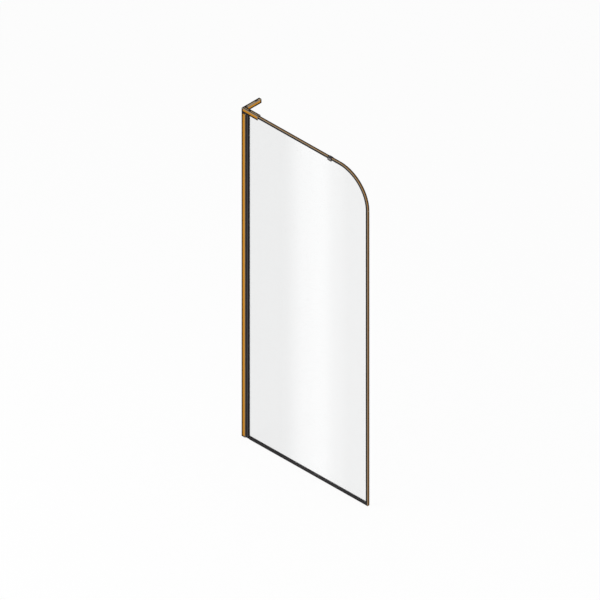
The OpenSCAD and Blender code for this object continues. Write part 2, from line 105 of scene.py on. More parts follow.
# %% Helpers for node trees
def put(tree, kind, inputs=None, **options):
    """Adds a node to a tree. An input is given by name or number, as a value or as a socket to link."""
    node = set_all(tree.nodes.new(kind), **options)
    for key, value in (inputs or {}).items():
        if isinstance(value, bpy.types.NodeSocket):
            tree.links.new(value, node.inputs[key])
        else:
            node.inputs[key].default_value = value
    return node


def step_of(operation):
    """Makes a function for one step of arithmetic on numbers or vectors, in the tree of its sockets."""
    def step(*values):
        sockets = [value for value in values if isinstance(value, bpy.types.NodeSocket)]
        is_vector = any(socket.type == "VECTOR" for socket in sockets)
        kind = "ShaderNodeVectorMath" if is_vector else "ShaderNodeMath"
        return put(sockets[0].id_data, kind, dict(enumerate(values)), operation=operation).outputs[0]

    return step


plus, minus, times, over = map(step_of, ["ADD", "SUBTRACT", "MULTIPLY", "DIVIDE"])
least, most, size_of, times_plus = map(step_of, ["MINIMUM", "MAXIMUM", "ABSOLUTE", "MULTIPLY_ADD"])
power, square_root = map(step_of, ["POWER", "SQRT"])
is_more, is_less, is_near = map(step_of, ["GREATER_THAN", "LESS_THAN", "COMPARE"])


def split(vector):
    """The three numbers of a vector."""
    return put(vector.id_data, "ShaderNodeSeparateXYZ", {0: vector}).outputs


def combine(tree, *numbers):
    """A vector of up to three numbers."""
    return put(tree, "ShaderNodeCombineXYZ", dict(enumerate(numbers))).outputs[0]


def remap(value, low, high, to_low=0.0, to_high=1.0, curve="LINEAR"):
    """Moves a number from one range to another and keeps it inside the new one."""
    ranges = {"Value": value, "From Min": low, "From Max": high, "To Min": to_low, "To Max": to_high}
    return put(value.id_data, "ShaderNodeMapRange", ranges, interpolation_type=curve).outputs[0]


def start_group(name, inputs, outputs, kind="ShaderNodeTree"):
    """Starts a node group with named sockets and returns it with its input and output sockets."""
    tree = bpy.data.node_groups.new(name, kind)
    for side, sockets in [("INPUT", inputs), ("OUTPUT", outputs)]:
        for label, socket in sockets.items():
            tree.interface.new_socket(label, in_out=side, socket_type="NodeSocket" + socket)
    return tree, tree.nodes.new("NodeGroupInput").outputs, tree.nodes.new("NodeGroupOutput").inputs


def end_group(tree, outs, results):
    """Links the results to the outputs of a group and returns the group."""
    for label, result in results.items():
        tree.links.new(result, outs[label])
    print("made group", tree.name)
    return tree


def place_group(tree, group, inputs):
    """Puts a finished group in a tree as one node and returns its outputs."""
    return put(tree, "ShaderNodeGroup", inputs, node_tree=group).outputs


# %% [markdown]
# ## The studio
# The panel stands on a plain white floor. A white floor that is only lit would turn grey towards its
# far end, so its material answers the camera and the reflections mostly with plain white, and keeps
# a share of the real light. That share is where the soft shadow shows.

# %% Floor
FLOOR_HALF = 30.0
FLOOR_DROP = 0.0004
FLOOR_PAINT = (0.92, 0.92, 0.92, 1)
WHITE = (1, 1, 1, 1)
SHADOW_SHARE = 0.08


def blank_tree(owner):
    """The node tree of a new material or world, without the nodes that it comes with."""
    owner.use_nodes = True
    owner.node_tree.nodes.clear()
    return owner.node_tree


def seen_as_background(tree):
    """One for a ray from the camera, off a gloss or through glass, and zero for light that spreads."""
    path = put(tree, "ShaderNodeLightPath").outputs
    either = most(path["Is Camera Ray"], path["Is Glossy Ray"])
    return most(either, path["Is Transmission Ray"])


def mix_shaders(share, first, second):
    """Mixes two shaders, with a share of the second."""
    inputs = {0: share, 1: first.outputs[0], 2: second.outputs[0]}
    return put(share.id_data, "ShaderNodeMixShader", inputs).outputs[0]


def stage_sheet(name, corners, material):
    """A flat sheet of the stage with its corners given in order."""
    mesh = bpy.data.meshes.new(name)
    mesh.from_pydata(corners, [], [tuple(range(len(corners)))])
    mesh.materials.append(material)
    sheet = add_object(name, mesh)


def floor_material():
    material = bpy.data.materials.new("white_floor")
    tree = blank_tree(material)
    lit = put(tree, "ShaderNodeBsdfDiffuse", {"Color": FLOOR_PAINT})
    plain = put(tree, "ShaderNodeEmission", {"Color": WHITE, "Strength": 1.0})
    share = times(seen_as_background(tree), 1 - SHADOW_SHARE)
    put(tree, "ShaderNodeOutputMaterial", {"Surface": mix_shaders(share, lit, plain)})
    return material


square = [(-1, -1), (1, -1), (1, 1), (-1, 1)]
floor_corners = [(x * FLOOR_HALF, y * FLOOR_HALF, -FLOOR_DROP) for x, y in square]
stage_sheet("floor", floor_corners, floor_material())
print("floor is", 2 * FLOOR_HALF, "m wide")

# %% [markdown]
# ## Light
# White surroundings light the panel evenly, and two large soft lamps give the faces their small
# differences. Neither lamp shows in the metal, because a lamp's white patch would hide its colour.

# %% World and lamps
AMBIENT = 0.62
KEY_PLACE = (-1.6, -3.4, 3.6)
KEY_WATTS = 95
FILL_PLACE = (4.2, -0.8, 2.8)
FILL_WATTS = 40
LAMP_SIZE = 3.0


def white_world():
    world = bpy.data.worlds.new("white_surroundings")
    tree = blank_tree(world)
    share = times(seen_as_background(tree), 1 - AMBIENT)
    level = plus(share, AMBIENT)
    sky = put(tree, "ShaderNodeBackground", {"Color": WHITE, "Strength": level})
    put(tree, "ShaderNodeOutputWorld", {"Surface": sky.outputs[0]})
    bpy.context.scene.world = world


def soft_lamp(name, place, watts):
    lamp = bpy.data.lights.new(name, "AREA")
    set_all(lamp, size=LAMP_SIZE, energy=watts, specular_factor=0.0)
    facing = (Vector(place) - VIEW_CENTRE).to_track_quat("Z", "Y").to_euler()
    add_object(
        name, lamp, location=place, rotation_euler=facing,
        visible_glossy=False, visible_transmission=False,
    )


white_world()
soft_lamp("key_lamp", KEY_PLACE, KEY_WATTS)
soft_lamp("fill_lamp", FILL_PLACE, FILL_WATTS)
print("world gives", AMBIENT, "of full light, and the lamps", KEY_WATTS, "and", FILL_WATTS, "watts")

# %% [markdown]
# ## The bright band in the glass
# A clear pane is only seen by what it mirrors. The soft upright band across the glass is the mirror
# image of a long strip of light, so a strip is laid on the floor, where only reflections see it. A
# ray from the camera meets the glass, turns back at the same angle and comes down on the floor. The
# rays that leave one upright line of the glass come down on one slanted line, and the strip follows
# that line. Its brightness rises and falls gently across its width.

# %% Strip of light for the glass
BAND_PLACES = [0.278, 0.450, 0.530, 0.560, 0.670, 0.756, 0.900]
BAND_LEVELS = [0.0, 0.85, 1.0, 1.0, 0.50, 0.21, 0.21]
BAND_FOOT = 0.02
BAND_OVER = 0.1
MIRROR_MET = 0.5
LEAN_X = -towards_camera.x / towards_camera.z
LEAN_Y = towards_camera.y / towards_camera.z
SLANT = LEAN_X / LEAN_Y
glass_lo, glass_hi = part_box("glass_pane")


def strip_material():
    """Brighter than white where the band is, and seen only by rays that a mirror has turned."""
    material = bpy.data.materials.new("light_strip")
    tree = blank_tree(material)
    axes = split(put(tree, "ShaderNodeTexCoord").outputs["Object"])
    across = minus(axes["X"], times(axes["Y"], SLANT))
    ramp = put(tree, "ShaderNodeValToRGB", {0: across})
    ramp.color_ramp.interpolation = "EASE"
    stops = ramp.color_ramp.elements
    for step, (where, level) in enumerate(zip(BAND_PLACES, BAND_LEVELS)):
        stop = stops[step] if step < 2 else stops.new(where)
        stop.position = where
        stop.color = (level, level, level, 1)
    glow = plus(ramp.outputs["Color"], 1.0)
    light = put(tree, "ShaderNodeEmission", {"Color": WHITE, "Strength": glow})
    clear = put(tree, "ShaderNodeBsdfTransparent")
    path = put(tree, "ShaderNodeLightPath").outputs
    mirrored = is_more(path["Glossy Depth"], MIRROR_MET)
    through_or_off = most(path["Is Glossy Ray"], path["Is Transmission Ray"])
    seen = times(mirrored, through_or_off)
    put(tree, "ShaderNodeOutputMaterial", {"Surface": mix_shaders(seen, clear, light)})
    return material


def landing(x, z):
    """Where the view ray that meets the glass at x and z comes down on the floor."""
    return (x + LEAN_X * z, LEAN_Y * z, FLOOR_DROP)


first, last = BAND_PLACES[0], BAND_PLACES[-1]
top = glass_hi.z + BAND_OVER
glass_corners = [(first, BAND_FOOT), (last, BAND_FOOT), (last, top), (first, top)]
strip_corners = [landing(x, z) for x, z in glass_corners]
stage_sheet("light_strip", strip_corners, strip_material())
print("strip of light runs from", strip_corners[0], "to", strip_corners[2])

# %% [markdown]
# ## Finishes: what several of them share
# Metal, plastic and rubber parts share a few small things. The fine lines left by the tool or die are
# real. The rest is painted light: thin dark lines of painted shade and pale lines of painted highlight
# along the edges, and painted top light that makes upward faces paler. Each of these is a node group,
# made once and placed in every material that needs it with its own sizes. The groups work in
# millimetres on the piece's own coordinates.

# %% Group: fine lines drawn along the piece
FINE_DETAIL = 4.0
BROAD_DETAIL = 2.0
BROAD_SCALE = 0.07
FINE_SHARE = 0.6


def noise(place, scale, detail):
    """Clouds between zero and one. The scale is how many of them go on a millimetre."""
    inputs = {"Vector": place, "Scale": scale, "Detail": detail}
    return put(place.id_data, "ShaderNodeTexNoise", inputs).outputs[0]


def make_grain():
    """Long fine lines. Stretch holds the lines per millimetre along each axis."""
    tree, ins, outs = start_group(
        "drawn_grain", {"Place": "Vector", "Stretch": "Vector"}, {"Tone": "Float", "Height": "Float"},
    )
    stretched = times(ins["Place"], ins["Stretch"])
    fine = noise(stretched, 1.0, FINE_DETAIL)
    broad = noise(stretched, BROAD_SCALE, BROAD_DETAIL)
    tone = times_plus(fine, FINE_SHARE, times(broad, 1 - FINE_SHARE))
    return end_group(tree, outs, {"Tone": tone, "Height": fine})


grain = make_grain()

# %% [markdown]
# Two kinds of painted line run along the edges of a piece. Where it meets another piece or the wall,
# and round its outline, a dark line of painted shade runs along the edge. Where two of its own faces
# meet on the edges marked for it, a pale line of painted highlight runs instead. Each line is a band
# within a width of its edge. An upward face may also have painted shade lines along its seams, and a
# border of painted shade as wide as a panel's. On faces turned to the wall, the back and the floor,
# away from the direction (1, -1, 1), the shade lines are narrower.

# %% Group: painted shade and highlight lines along the edges
# Faces turned towards this direction get painted shade lines of full width, the others narrower ones.
WIDE_LINE_FACING = (1, -1, 1)
NARROW_LINE_SHARE = 0.3
TOP_FACES = (0.6, 0.8)
BORDER_SOFT, SEAM_SOFT, SHADE_LINE_SOFT, HIGHLIGHT_SOFT = 0.12, 0.15, 0.2, 0.3


def lying_faces(normal, limits):
    """Zero on upright faces, and one on faces that lie. The limits are upward parts of the normal."""
    return remap(split(normal)["Z"], *limits)


def band_of(gap, width, softness):
    """One at the edge, fading to zero at a width, with a soft limit."""
    inner = times(width, 1 - softness)
    return remap(gap, inner, width, 1.0, 0.0, "SMOOTHSTEP")


def make_rims():
    tree, ins, outs = start_group(
        "painted_edge_lines",
        {"Normal": "Vector", "Shade Line Gap": "Float", "Highlight Gap": "Float", "Seam Gap": "Float",
         "Shade Line Width": "Float", "Highlight Width": "Float", "Seam Width": "Float", "Panel Width": "Float"},
        {"Shade Line": "Float", "Highlight": "Float"},
    )
    # Painted shade on upward faces: a border round them and lines along their seams.
    any_gap = least(ins["Shade Line Gap"], ins["Highlight Gap"])
    border = band_of(any_gap, ins["Panel Width"], BORDER_SOFT)
    seam = band_of(ins["Seam Gap"], ins["Seam Width"], SEAM_SOFT)
    lying = lying_faces(ins["Normal"], TOP_FACES)
    on_top = times(lying, most(border, seam))
    # Painted shade lines along the edges, wider on faces turned towards the given direction.
    both = {0: ins["Normal"], 1: WIDE_LINE_FACING}
    facing = put(tree, "ShaderNodeVectorMath", both, operation="DOT_PRODUCT").outputs["Value"]
    faces_wide_side = is_more(facing, 0.0)
    share = times_plus(faces_wide_side, 1 - NARROW_LINE_SHARE, NARROW_LINE_SHARE)
    edge = band_of(ins["Shade Line Gap"], times(ins["Shade Line Width"], share), SHADE_LINE_SOFT)
    # Painted highlight lines along the edges marked for them.
    edge_highlight = band_of(ins["Highlight Gap"], ins["Highlight Width"], HIGHLIGHT_SOFT)
    return end_group(tree, outs, {"Shade Line": most(edge, on_top), "Highlight": edge_highlight})


rims = make_rims()

# %% [markdown]
# The bands need the distance from a point to the edges of its piece. On a piece with flat sides, an
# edge belongs to two faces, and the distance to it is the larger of the gaps to those two. So each
# axis is paired with the next one, the larger gap is kept, and the smallest of the three pairs is the
# nearest edge. The faces that are marked for highlight meet in edges with painted highlight lines, and
# every other edge gets a painted shade line.

# %% Group: gaps to the edges of a straight piece
FAR = 1000.0


def next_axes(gaps):
    """The same three numbers moved on by one axis."""
    axes = split(gaps)
    return combine(gaps.id_data, axes[1], axes[2], axes[0])


def smallest(gaps):
    """The smallest of a vector's three numbers."""
    axes = split(gaps)
    return least(least(axes[0], axes[1]), axes[2])


def make_box_gaps():
    tree, ins, outs = start_group(
        "box_gaps",
        {"Place": "Vector", "Low Corner": "Vector", "High Corner": "Vector",
         "Low Highlight": "Vector", "High Highlight": "Vector"},
        {"Shade Line Gap": "Float", "Highlight Gap": "Float"},
    )
    from_low = minus(ins["Place"], ins["Low Corner"])
    to_high = minus(ins["High Corner"], ins["Place"])
    nearest = least(from_low, to_high)

    def to_faces(low_left_out, high_left_out):
        """The gap on each axis to the nearer of two faces, without the ones that are left out."""
        low = times_plus(low_left_out, (FAR, FAR, FAR), from_low)
        high = times_plus(high_left_out, (FAR, FAR, FAR), to_high)
        return least(low, high)

    # Gaps to the edges that get painted shade lines, and to those that get painted highlight lines.
    to_shade_line_faces = to_faces(ins["Low Highlight"], ins["High Highlight"])
    not_highlight = [minus((1, 1, 1), ins[side]) for side in ("Low Highlight", "High Highlight")]
    to_highlight_faces = to_faces(*not_highlight)
    one_way = most(to_shade_line_faces, next_axes(nearest))
    other_way = most(nearest, next_axes(to_shade_line_faces))
    shade_line_edges = least(one_way, other_way)
    highlight_edges = most(to_highlight_faces, next_axes(to_highlight_faces))
    gaps = {"Shade Line Gap": smallest(shade_line_edges), "Highlight Gap": smallest(highlight_edges)}
    return end_group(tree, outs, gaps)


box_gaps = make_box_gaps()

# %% [markdown]
# The bent trim has no flat box round it. Its gaps are measured across the glass edge instead. Take
# the distance from the centre of the bend, but count only the part of it that lies beyond that
# centre on each axis. Over the top that is the height, down the side it is the width, and round the
# bend it is the true radius, so one formula follows the whole edge. A thin line of painted highlight
# also runs across the outer face at both ends of the bend, where the bend meets the straight runs.

# %% Group: gaps to the faces of the edge trim
def make_trim_gaps():
    tree, ins, outs = start_group(
        "trim_gaps",
        {"Place": "Vector", "Bend Centre": "Vector", "Bend Radius": "Float", "Half Width": "Float",
         "Leg End": "Float", "Outer Face": "Float"},
        {"Shade Line Gap": "Float", "Highlight Gap": "Float", "Section": "Vector"},
    )
    axes = split(minus(ins["Place"], ins["Bend Centre"]))
    beyond = [most(axes[axis], 0.0) for axis in "XZ"]
    squares = [power(part, 2.0) for part in beyond]
    reach = square_root(plus(*squares))
    outwards = minus(reach, ins["Bend Radius"])
    to_outer = minus(ins["Outer Face"], outwards)
    from_leg = minus(outwards, ins["Leg End"])
    side = minus(ins["Half Width"], size_of(axes["Y"]))
    front = plus(ins["Half Width"], axes["Y"])
    back = minus(ins["Half Width"], axes["Y"])
    leg_edge = most(side, from_leg)
    back_edge = most(back, to_outer)
    front_edge = most(front, to_outer)
    # A thin painted highlight line across the outer face where the bend starts and where it ends.
    to_bend_end = least(*[size_of(axes[axis]) for axis in "XZ"])
    bend_end_line = most(to_bend_end, to_outer)
    along = minus(axes["X"], axes["Z"])
    return end_group(tree, outs, {
        "Shade Line Gap": least(leg_edge, back_edge),
        "Highlight Gap": least(front_edge, bend_end_line),
        "Section": combine(tree, axes["Y"], outwards, along),
    })


trim_gaps = make_trim_gaps()

# %% Groups: painted top light on upward faces, and marks of handling, which change the gloss
# Painted top light: upward faces are painted paler in soft uneven patches, as if lit from above.
TOP_LIGHT_FACES = (0.25, 0.9)
TOP_LIGHT_SCALE = 0.09
TOP_LIGHT_DETAIL = 5.0
CLOUD_LOW, CLOUD_HIGH = 0.3, 0.7
TOP_LIGHT_WEAKEST = 0.82


def make_top_light():
    tree, ins, outs = start_group(
        "painted_top_light", {"Place": "Vector", "Normal": "Vector", "Amount": "Float"}, {"Top Light": "Float"},
    )
    lying = lying_faces(ins["Normal"], TOP_LIGHT_FACES)
    patches = noise(ins["Place"], TOP_LIGHT_SCALE, TOP_LIGHT_DETAIL)
    uneven = remap(patches, CLOUD_LOW, CLOUD_HIGH, TOP_LIGHT_WEAKEST, 1.0)
    # Painted top light, strongest on faces that lie flat.
    top_lit = times(times(lying, uneven), ins["Amount"])
    return end_group(tree, outs, {"Top Light": top_lit})


def make_marks():
    tree, ins, outs = start_group(
        "handling_marks", {"Place": "Vector", "Size": "Float"}, {"Marks": "Float"},
    )
    scale = over(1.0, ins["Size"])
    return end_group(tree, outs, {"Marks": noise(ins["Place"], scale, FINE_DETAIL)})


top_light_group = make_top_light()
marks = make_marks()

# %% Helpers for materials
COLOUR_A, COLOUR_B, COLOUR_OUT = 6, 7, 2


def mix_colour(share, first, second):
    """Mixes two colours by a mask. The mix node has sockets for several kinds, told apart by number."""
    colours = {0: share, COLOUR_A: first, COLOUR_B: second}
    return put(share.id_data, "ShaderNodeMix", colours, data_type="RGBA").outputs[COLOUR_OUT]


def start_material(name, **plain):
    """A new material with its main shader, the piece's own place in millimetres and its normal."""
    material = bpy.data.materials.new(name)
    material.use_nodes = True
    tree = material.node_tree
    shader = tree.nodes["Principled BSDF"]
    for label, value in plain.items():
        shader.inputs[label.replace("_", " ")].default_value = value
    in_metres = {0: put(tree, "ShaderNodeTexCoord").outputs["Object"], "Scale": 1 / MM}
    place = put(tree, "ShaderNodeVectorMath", in_metres, operation="SCALE").outputs[0]
    normal = put(tree, "ShaderNodeNewGeometry").outputs["Normal"]
    return material, tree, shader, place, normal


def raise_surface(tree, shader, height, depth):
    """Turns a height into relief on the shader's normal, at a real depth in millimetres."""
    bump = put(tree, "ShaderNodeBump", {"Height": height, "Distance": depth * MM, "Strength": 1.0})
    tree.links.new(bump.outputs[0], shader.inputs["Normal"])


def gaps_in_box(tree, place, low, high, low_highlight=(0, 0, 0), high_highlight=(0, 0, 0)):
    """Gaps to the edges of a box. A one marks the axis on whose low or high side the face gets painted
    highlight lines.
    """
    corners = {"Low Corner": low / MM, "High Corner": high / MM}
    return place_group(
        tree, box_gaps, {"Place": place, "Low Highlight": low_highlight, "High Highlight": high_highlight, **corners},
    )


# %% [markdown]
# ## Gold metal
# The channel, the trims and the bracket are gold coloured metal. The extrusions are drawn through a
# die and anodised, the bracket is brushed and plated, so both have fine lines along their length.
# The colour sits in the metal itself, which is why the base colour is gold and the metallic value is
# high. Upward faces are painted paler and greyer with painted top light, the edges carry dark lines
# of painted shade, and the edges marked for it carry pale lines of painted highlight instead. Under
# the painted top light and the shade lines the metal is also less metallic and rougher.

# %% Gold metal
GOLD = (0.555, 0.238, 0.0105, 1)
GOLD_DEEP = (0.505, 0.211, 0.0085, 1)
GOLD_SPECULAR = 0.08
GOLD_RELIEF = 0.012
# Painted top light on upward faces, paler and greyer than the gold.
TOP_LIGHT_TAN = (0.42, 0.31, 0.165, 1)
TOP_LIGHT_COVER = 0.85
# Painted shade: the colour of the dark lines along edges and seams.
SHADE_LINE_PAINT = (0.011, 0.008, 0.0085, 1)
# Painted highlight: the colour of the pale lines along the edges marked for them.
EDGE_HIGHLIGHT_PAINT = (0.27, 0.23, 0.175, 1)
CLEAN_METAL, COVERED_METAL = 1.0, 0.1
GLOSS_LOW, GLOSS_SPREAD, COVERED_ROUGH = 0.24, 0.16, 0.6
GOLD_HANDLED = 45.0
# Widths in millimetres of the painted shade lines and of the painted highlight lines.
SHADE_LINE_WIDTH = 8.6
HIGHLIGHT_LINE_WIDTH = 3.0
NO_WIDTH = 0.001


def finish_gold(tree, shader, place, normal, gaps, stretch, grain_place, top_light_amount, widths):
    """The whole gold finish. Widths are those of the rims that differ from the usual ones."""
    lines = place_group(tree, grain, {"Place": grain_place, "Stretch": stretch})
    usual = {"Shade Line Width": SHADE_LINE_WIDTH, "Highlight Width": HIGHLIGHT_LINE_WIDTH, "Seam Width": SHADE_LINE_WIDTH,
             "Panel Width": NO_WIDTH, "Seam Gap": FAR}
    edges = {"Normal": normal, "Shade Line Gap": gaps["Shade Line Gap"], "Highlight Gap": gaps["Highlight Gap"]}
    rim = place_group(tree, rims, {**edges, **usual, **widths})
    top_lit = place_group(tree, top_light_group, {"Place": place, "Normal": normal, "Amount": top_light_amount})["Top Light"]
    handled = place_group(tree, marks, {"Place": place, "Size": GOLD_HANDLED})["Marks"]
    colour = mix_colour(lines["Tone"], GOLD_DEEP, GOLD)
    # Over the grain: painted top light on upward faces, then painted shade lines, then painted highlight
    # lines.
    colour = mix_colour(top_lit, colour, TOP_LIGHT_TAN)
    colour = mix_colour(rim["Shade Line"], colour, SHADE_LINE_PAINT)
    colour = mix_colour(rim["Highlight"], colour, EDGE_HIGHLIGHT_PAINT)
    tree.links.new(colour, shader.inputs["Base Color"])
    # Where painted top light or painted shade lines lie, the metal is made less metallic and rougher.
    cover = most(times(top_lit, TOP_LIGHT_COVER), rim["Shade Line"])
    tree.links.new(times_plus(cover, COVERED_METAL - CLEAN_METAL, CLEAN_METAL), shader.inputs["Metallic"])
    gloss = times_plus(handled, GLOSS_SPREAD, GLOSS_LOW)
    tree.links.new(times_plus(cover, minus(COVERED_ROUGH, gloss), gloss), shader.inputs["Roughness"])
    raise_surface(tree, shader, lines["Height"], GOLD_RELIEF)


def gap_to_seams(place, seams):
    """Distance to the nearest of some seams, each given by its axis and its place on it."""
    axes = split(place)
    nearest = FAR
    for axis, at in seams:
        off = size_of(minus(axes[axis], at / MM))
        nearest = least(nearest, off)
    return nearest


def gold_for_box(name, low, high, stretch, low_highlight, high_highlight, seams=(), widths=()):
    """Gold for straight pieces inside a box, with painted shade and highlight lines along its edges and
    painted shade at seams.
    """
    material, tree, shader, place, normal = start_material(name, Specular_IOR_Level=GOLD_SPECULAR)
    gaps = gaps_in_box(tree, place, low, high, low_highlight, high_highlight)
    widths = dict(widths)
    if seams:
        widths["Seam Gap"] = gap_to_seams(place, seams)
    finish_gold(tree, shader, place, normal, gaps, stretch, place, 1.0, widths)
    return material


X, Y, Z = 0, 1, 2
ALONG_X, ALONG_Y, ALONG_Z = (0.02, 3.0, 3.0), (3.0, 0.02, 3.0), (3.0, 3.0, 0.02)
channel_lo, channel_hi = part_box("wall_channel")
arm_cover_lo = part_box("wall_arm_cover")[0]
arm_cap_lo, arm_cap_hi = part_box("wall_arm_end_cap")
gold_channel = gold_for_box(
    "gold_channel", channel_lo, channel_hi, ALONG_Z, low_highlight=(0, 1, 0), high_highlight=(1, 0, 0),
)
gold_saddle = gold_for_box(
    "gold_saddle", *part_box("saddle_arm"), ALONG_X, low_highlight=(0, 1, 0), high_highlight=(1, 0, 1),
    seams=[(X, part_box("saddle_cover")[1].x)],
    widths={"Shade Line Width": 10.0, "Highlight Width": 3.6, "Panel Width": 8.6, "Seam Width": 8.4},
)
gold_wall_arm = gold_for_box(
    "gold_wall_arm", arm_cover_lo, arm_cap_hi, ALONG_Y, low_highlight=(0, 0, 0), high_highlight=(1, 0, 1),
    seams=[(Y, arm_cover_lo.y), (Y, arm_cap_lo.y)],
    widths={"Shade Line Width": 9.2, "Highlight Width": 5.0, "Seam Width": 11.0},
)
print("gold for the channel and the bracket is ready")

# %% Gold of the edge trims
CORNER_R = 200 * MM
# Weaker painted top light on the trims, and their own widths of painted shade and highlight lines.
TRIM_TOP_LIGHT = 0.4
TRIM_RIMS = {"Shade Line Width": 8.7, "Highlight Width": 2.3}
bend = Vector((glass_hi.x - CORNER_R, 0, glass_hi.z - CORNER_R))
trim_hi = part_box("corner_trim")[1]
trim_out = trim_hi.x - glass_hi.x
trim_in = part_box("top_trim")[0].z - glass_hi.z


def gold_for_trim():
    material, tree, shader, place, normal = start_material("gold_trim", Specular_IOR_Level=GOLD_SPECULAR)
    gaps = place_group(
        tree, trim_gaps,
        {"Place": place, "Bend Centre": bend / MM, "Bend Radius": CORNER_R / MM,
         "Half Width": trim_hi.y / MM, "Leg End": trim_in / MM, "Outer Face": trim_out / MM},
    )
    finish_gold(tree, shader, place, normal, gaps, ALONG_Z, gaps["Section"], TRIM_TOP_LIGHT, TRIM_RIMS)
    return material


gold_trim = gold_for_trim()
print("trim stands", round(trim_out / MM, 2), "mm outside the glass and", round(-trim_in / MM, 2), "inside")

# %% [markdown]
# ## Dark and grey finishes
# The adjusting profile is black anodised metal, the gaskets, liners and fins are rubber, the bottom
# seal is flexible vinyl, and the joiner clip, plugs and pads are moulded. They are all close in
# colour, so what tells them apart is their gloss and the scale of their relief: fine die lines on
# metal, long soft extrusion lines on rubber, an even grain on moulded plastic.

# %% Dark metal, rubber and moulded finishes
PLAIN_HANDLED = 30.0
ROUGH_SPREAD = 0.2
PLAIN_SHADE_LINE = 5.4
EVEN = (2.5, 2.5, 2.5)
COARSE = (0.9, 0.9, 0.9)
SEAM_BESIDE_CHANNEL = 2.2 * MM
NYLON_DEPTH = 0.1


def plain_finish(name, dark_tone, light_tone, rough, stretch, depth, specular, metallic, rim_box=None):
    """A finish of two close tones with relief, and painted shade lines along the edges if a box is given
    for them.
    """
    material, tree, shader, place, normal = start_material(
        name, Specular_IOR_Level=specular, Metallic=metallic,
    )
    lines = place_group(tree, grain, {"Place": place, "Stretch": stretch})
    handled = place_group(tree, marks, {"Place": place, "Size": PLAIN_HANDLED})["Marks"]
    colour = mix_colour(lines["Tone"], (*dark_tone, 1), (*light_tone, 1))
    # Painted shade lines along the edges of the box, and a painted shade border on upward faces.
    if rim_box:
        gaps = gaps_in_box(tree, place, *rim_box)
        rim = place_group(
            tree, rims,
            {"Normal": normal, "Shade Line Gap": gaps["Shade Line Gap"], "Highlight Gap": FAR, "Seam Gap": FAR,
             "Shade Line Width": PLAIN_SHADE_LINE, "Highlight Width": NO_WIDTH, "Seam Width": NO_WIDTH,
             "Panel Width": 2 * PLAIN_SHADE_LINE},
        )
        colour = mix_colour(rim["Shade Line"], colour, SHADE_LINE_PAINT)
    tree.links.new(colour, shader.inputs["Base Color"])
    roughness = times_plus(handled, ROUGH_SPREAD, rough - ROUGH_SPREAD / 2)
    tree.links.new(roughness, shader.inputs["Roughness"])
    raise_surface(tree, shader, lines["Height"], depth)
    return material


# On the profile the painted shade lines start just beside the channel, standing for the shade in the gap
# between the two.
shown_lo, shown_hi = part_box("adjusting_profile")
shown_lo.x = channel_hi.x + SEAM_BESIDE_CHANNEL

RUBBER_TONES = (0.009, 0.008, 0.009), (0.015, 0.014, 0.014)
# Each row has a dark and a light tone, the roughness, the grain's lines per millimetre, the relief in
# millimetres, the level of the plain gloss, the metallic value and, for painted shade lines along the
# edges, a box.
FINISHES = {
    "black_anodised": (
        (0.038, 0.035, 0.038), (0.056, 0.051, 0.055), 0.42, ALONG_Z, 0.010, 0.1, 0.45,
        (shown_lo, shown_hi),
    ),
    "rubber_upright": (*RUBBER_TONES, 0.72, (1.2, 1.2, 0.01), 0.03, 0.12, 0),
    "rubber_level": (*RUBBER_TONES, 0.72, (0.01, 1.2, 1.2), 0.03, 0.12, 0),
    "seal_vinyl": ((0.015, 0.0135, 0.014), (0.023, 0.021, 0.022), 0.5, (0.01, 1.6, 1.6), 0.02, 0.12, 0),
    "clip_plastic": (
        (0.155, 0.150, 0.152), (0.185, 0.178, 0.180), 0.55, EVEN, 0.02, 0.25, 0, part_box("trim_joiner"),
    ),
    "black_moulded": ((0.020, 0.019, 0.020), (0.030, 0.029, 0.030), 0.6, EVEN, 0.02, 0.3, 0),
    "nylon": ((0.66, 0.65, 0.60), (0.74, 0.73, 0.68), 0.5, COARSE, 0.02, 0.5, 0),
    "cast_zinc": ((0.30, 0.31, 0.33), (0.42, 0.43, 0.45), 0.5, COARSE, 0.05, 0.5, 1),
    "steel_plate": ((0.48, 0.49, 0.51), (0.62, 0.63, 0.65), 0.36, ALONG_Y, 0.012, 0.5, 1),
    "screw_steel": ((0.50, 0.51, 0.53), (0.66, 0.67, 0.69), 0.3, EVEN, 0.006, 0.5, 1),
    "gold_cap_plastic": ((0.48, 0.195, 0.017), (0.56, 0.235, 0.021), 0.4, EVEN, 0.01, 0.4, 0),
}
plain = {name: plain_finish(name, *row) for name, row in FINISHES.items()}
plain["nylon"].node_tree.nodes["Principled BSDF"].inputs["Subsurface Weight"].default_value = NYLON_DEPTH
print("dark and grey finishes are ready:", ", ".join(plain))

# %% [markdown]
# ## Glass
# The pane is clear toughened glass, a little grey like all glass of this thickness, with a wiped film
# on it that only changes the gloss. Light has to pass through to what is behind. Real glass does that
# by bending every ray, which makes its shadow slow and grainy, so for shadow rays alone the glass is
# simply clear.

# %% Glass
GLASS_TINT = (0.852, 0.856, 0.857, 1)
SHADOW_TINT = (0.93, 0.94, 0.935, 1)
GLASS_HANDLED = 120.0
WIPED_ROUGH = 0.03


def clear_glass():
    material, tree, shader, place, _ = start_material(
        "safety_glass", Transmission_Weight=1.0, IOR=1.5, Base_Color=GLASS_TINT,
    )
    handled = place_group(tree, marks, {"Place": place, "Size": GLASS_HANDLED})["Marks"]
    tree.links.new(times(handled, WIPED_ROUGH), shader.inputs["Roughness"])
    clear = put(tree, "ShaderNodeBsdfTransparent", {"Color": SHADOW_TINT})
    shadow = put(tree, "ShaderNodeLightPath").outputs["Is Shadow Ray"]
    surface = tree.nodes["Material Output"].inputs["Surface"]
    tree.links.new(mix_shaders(shadow, shader, clear), surface)
    return material


glass = clear_glass()
print("glass is ready")

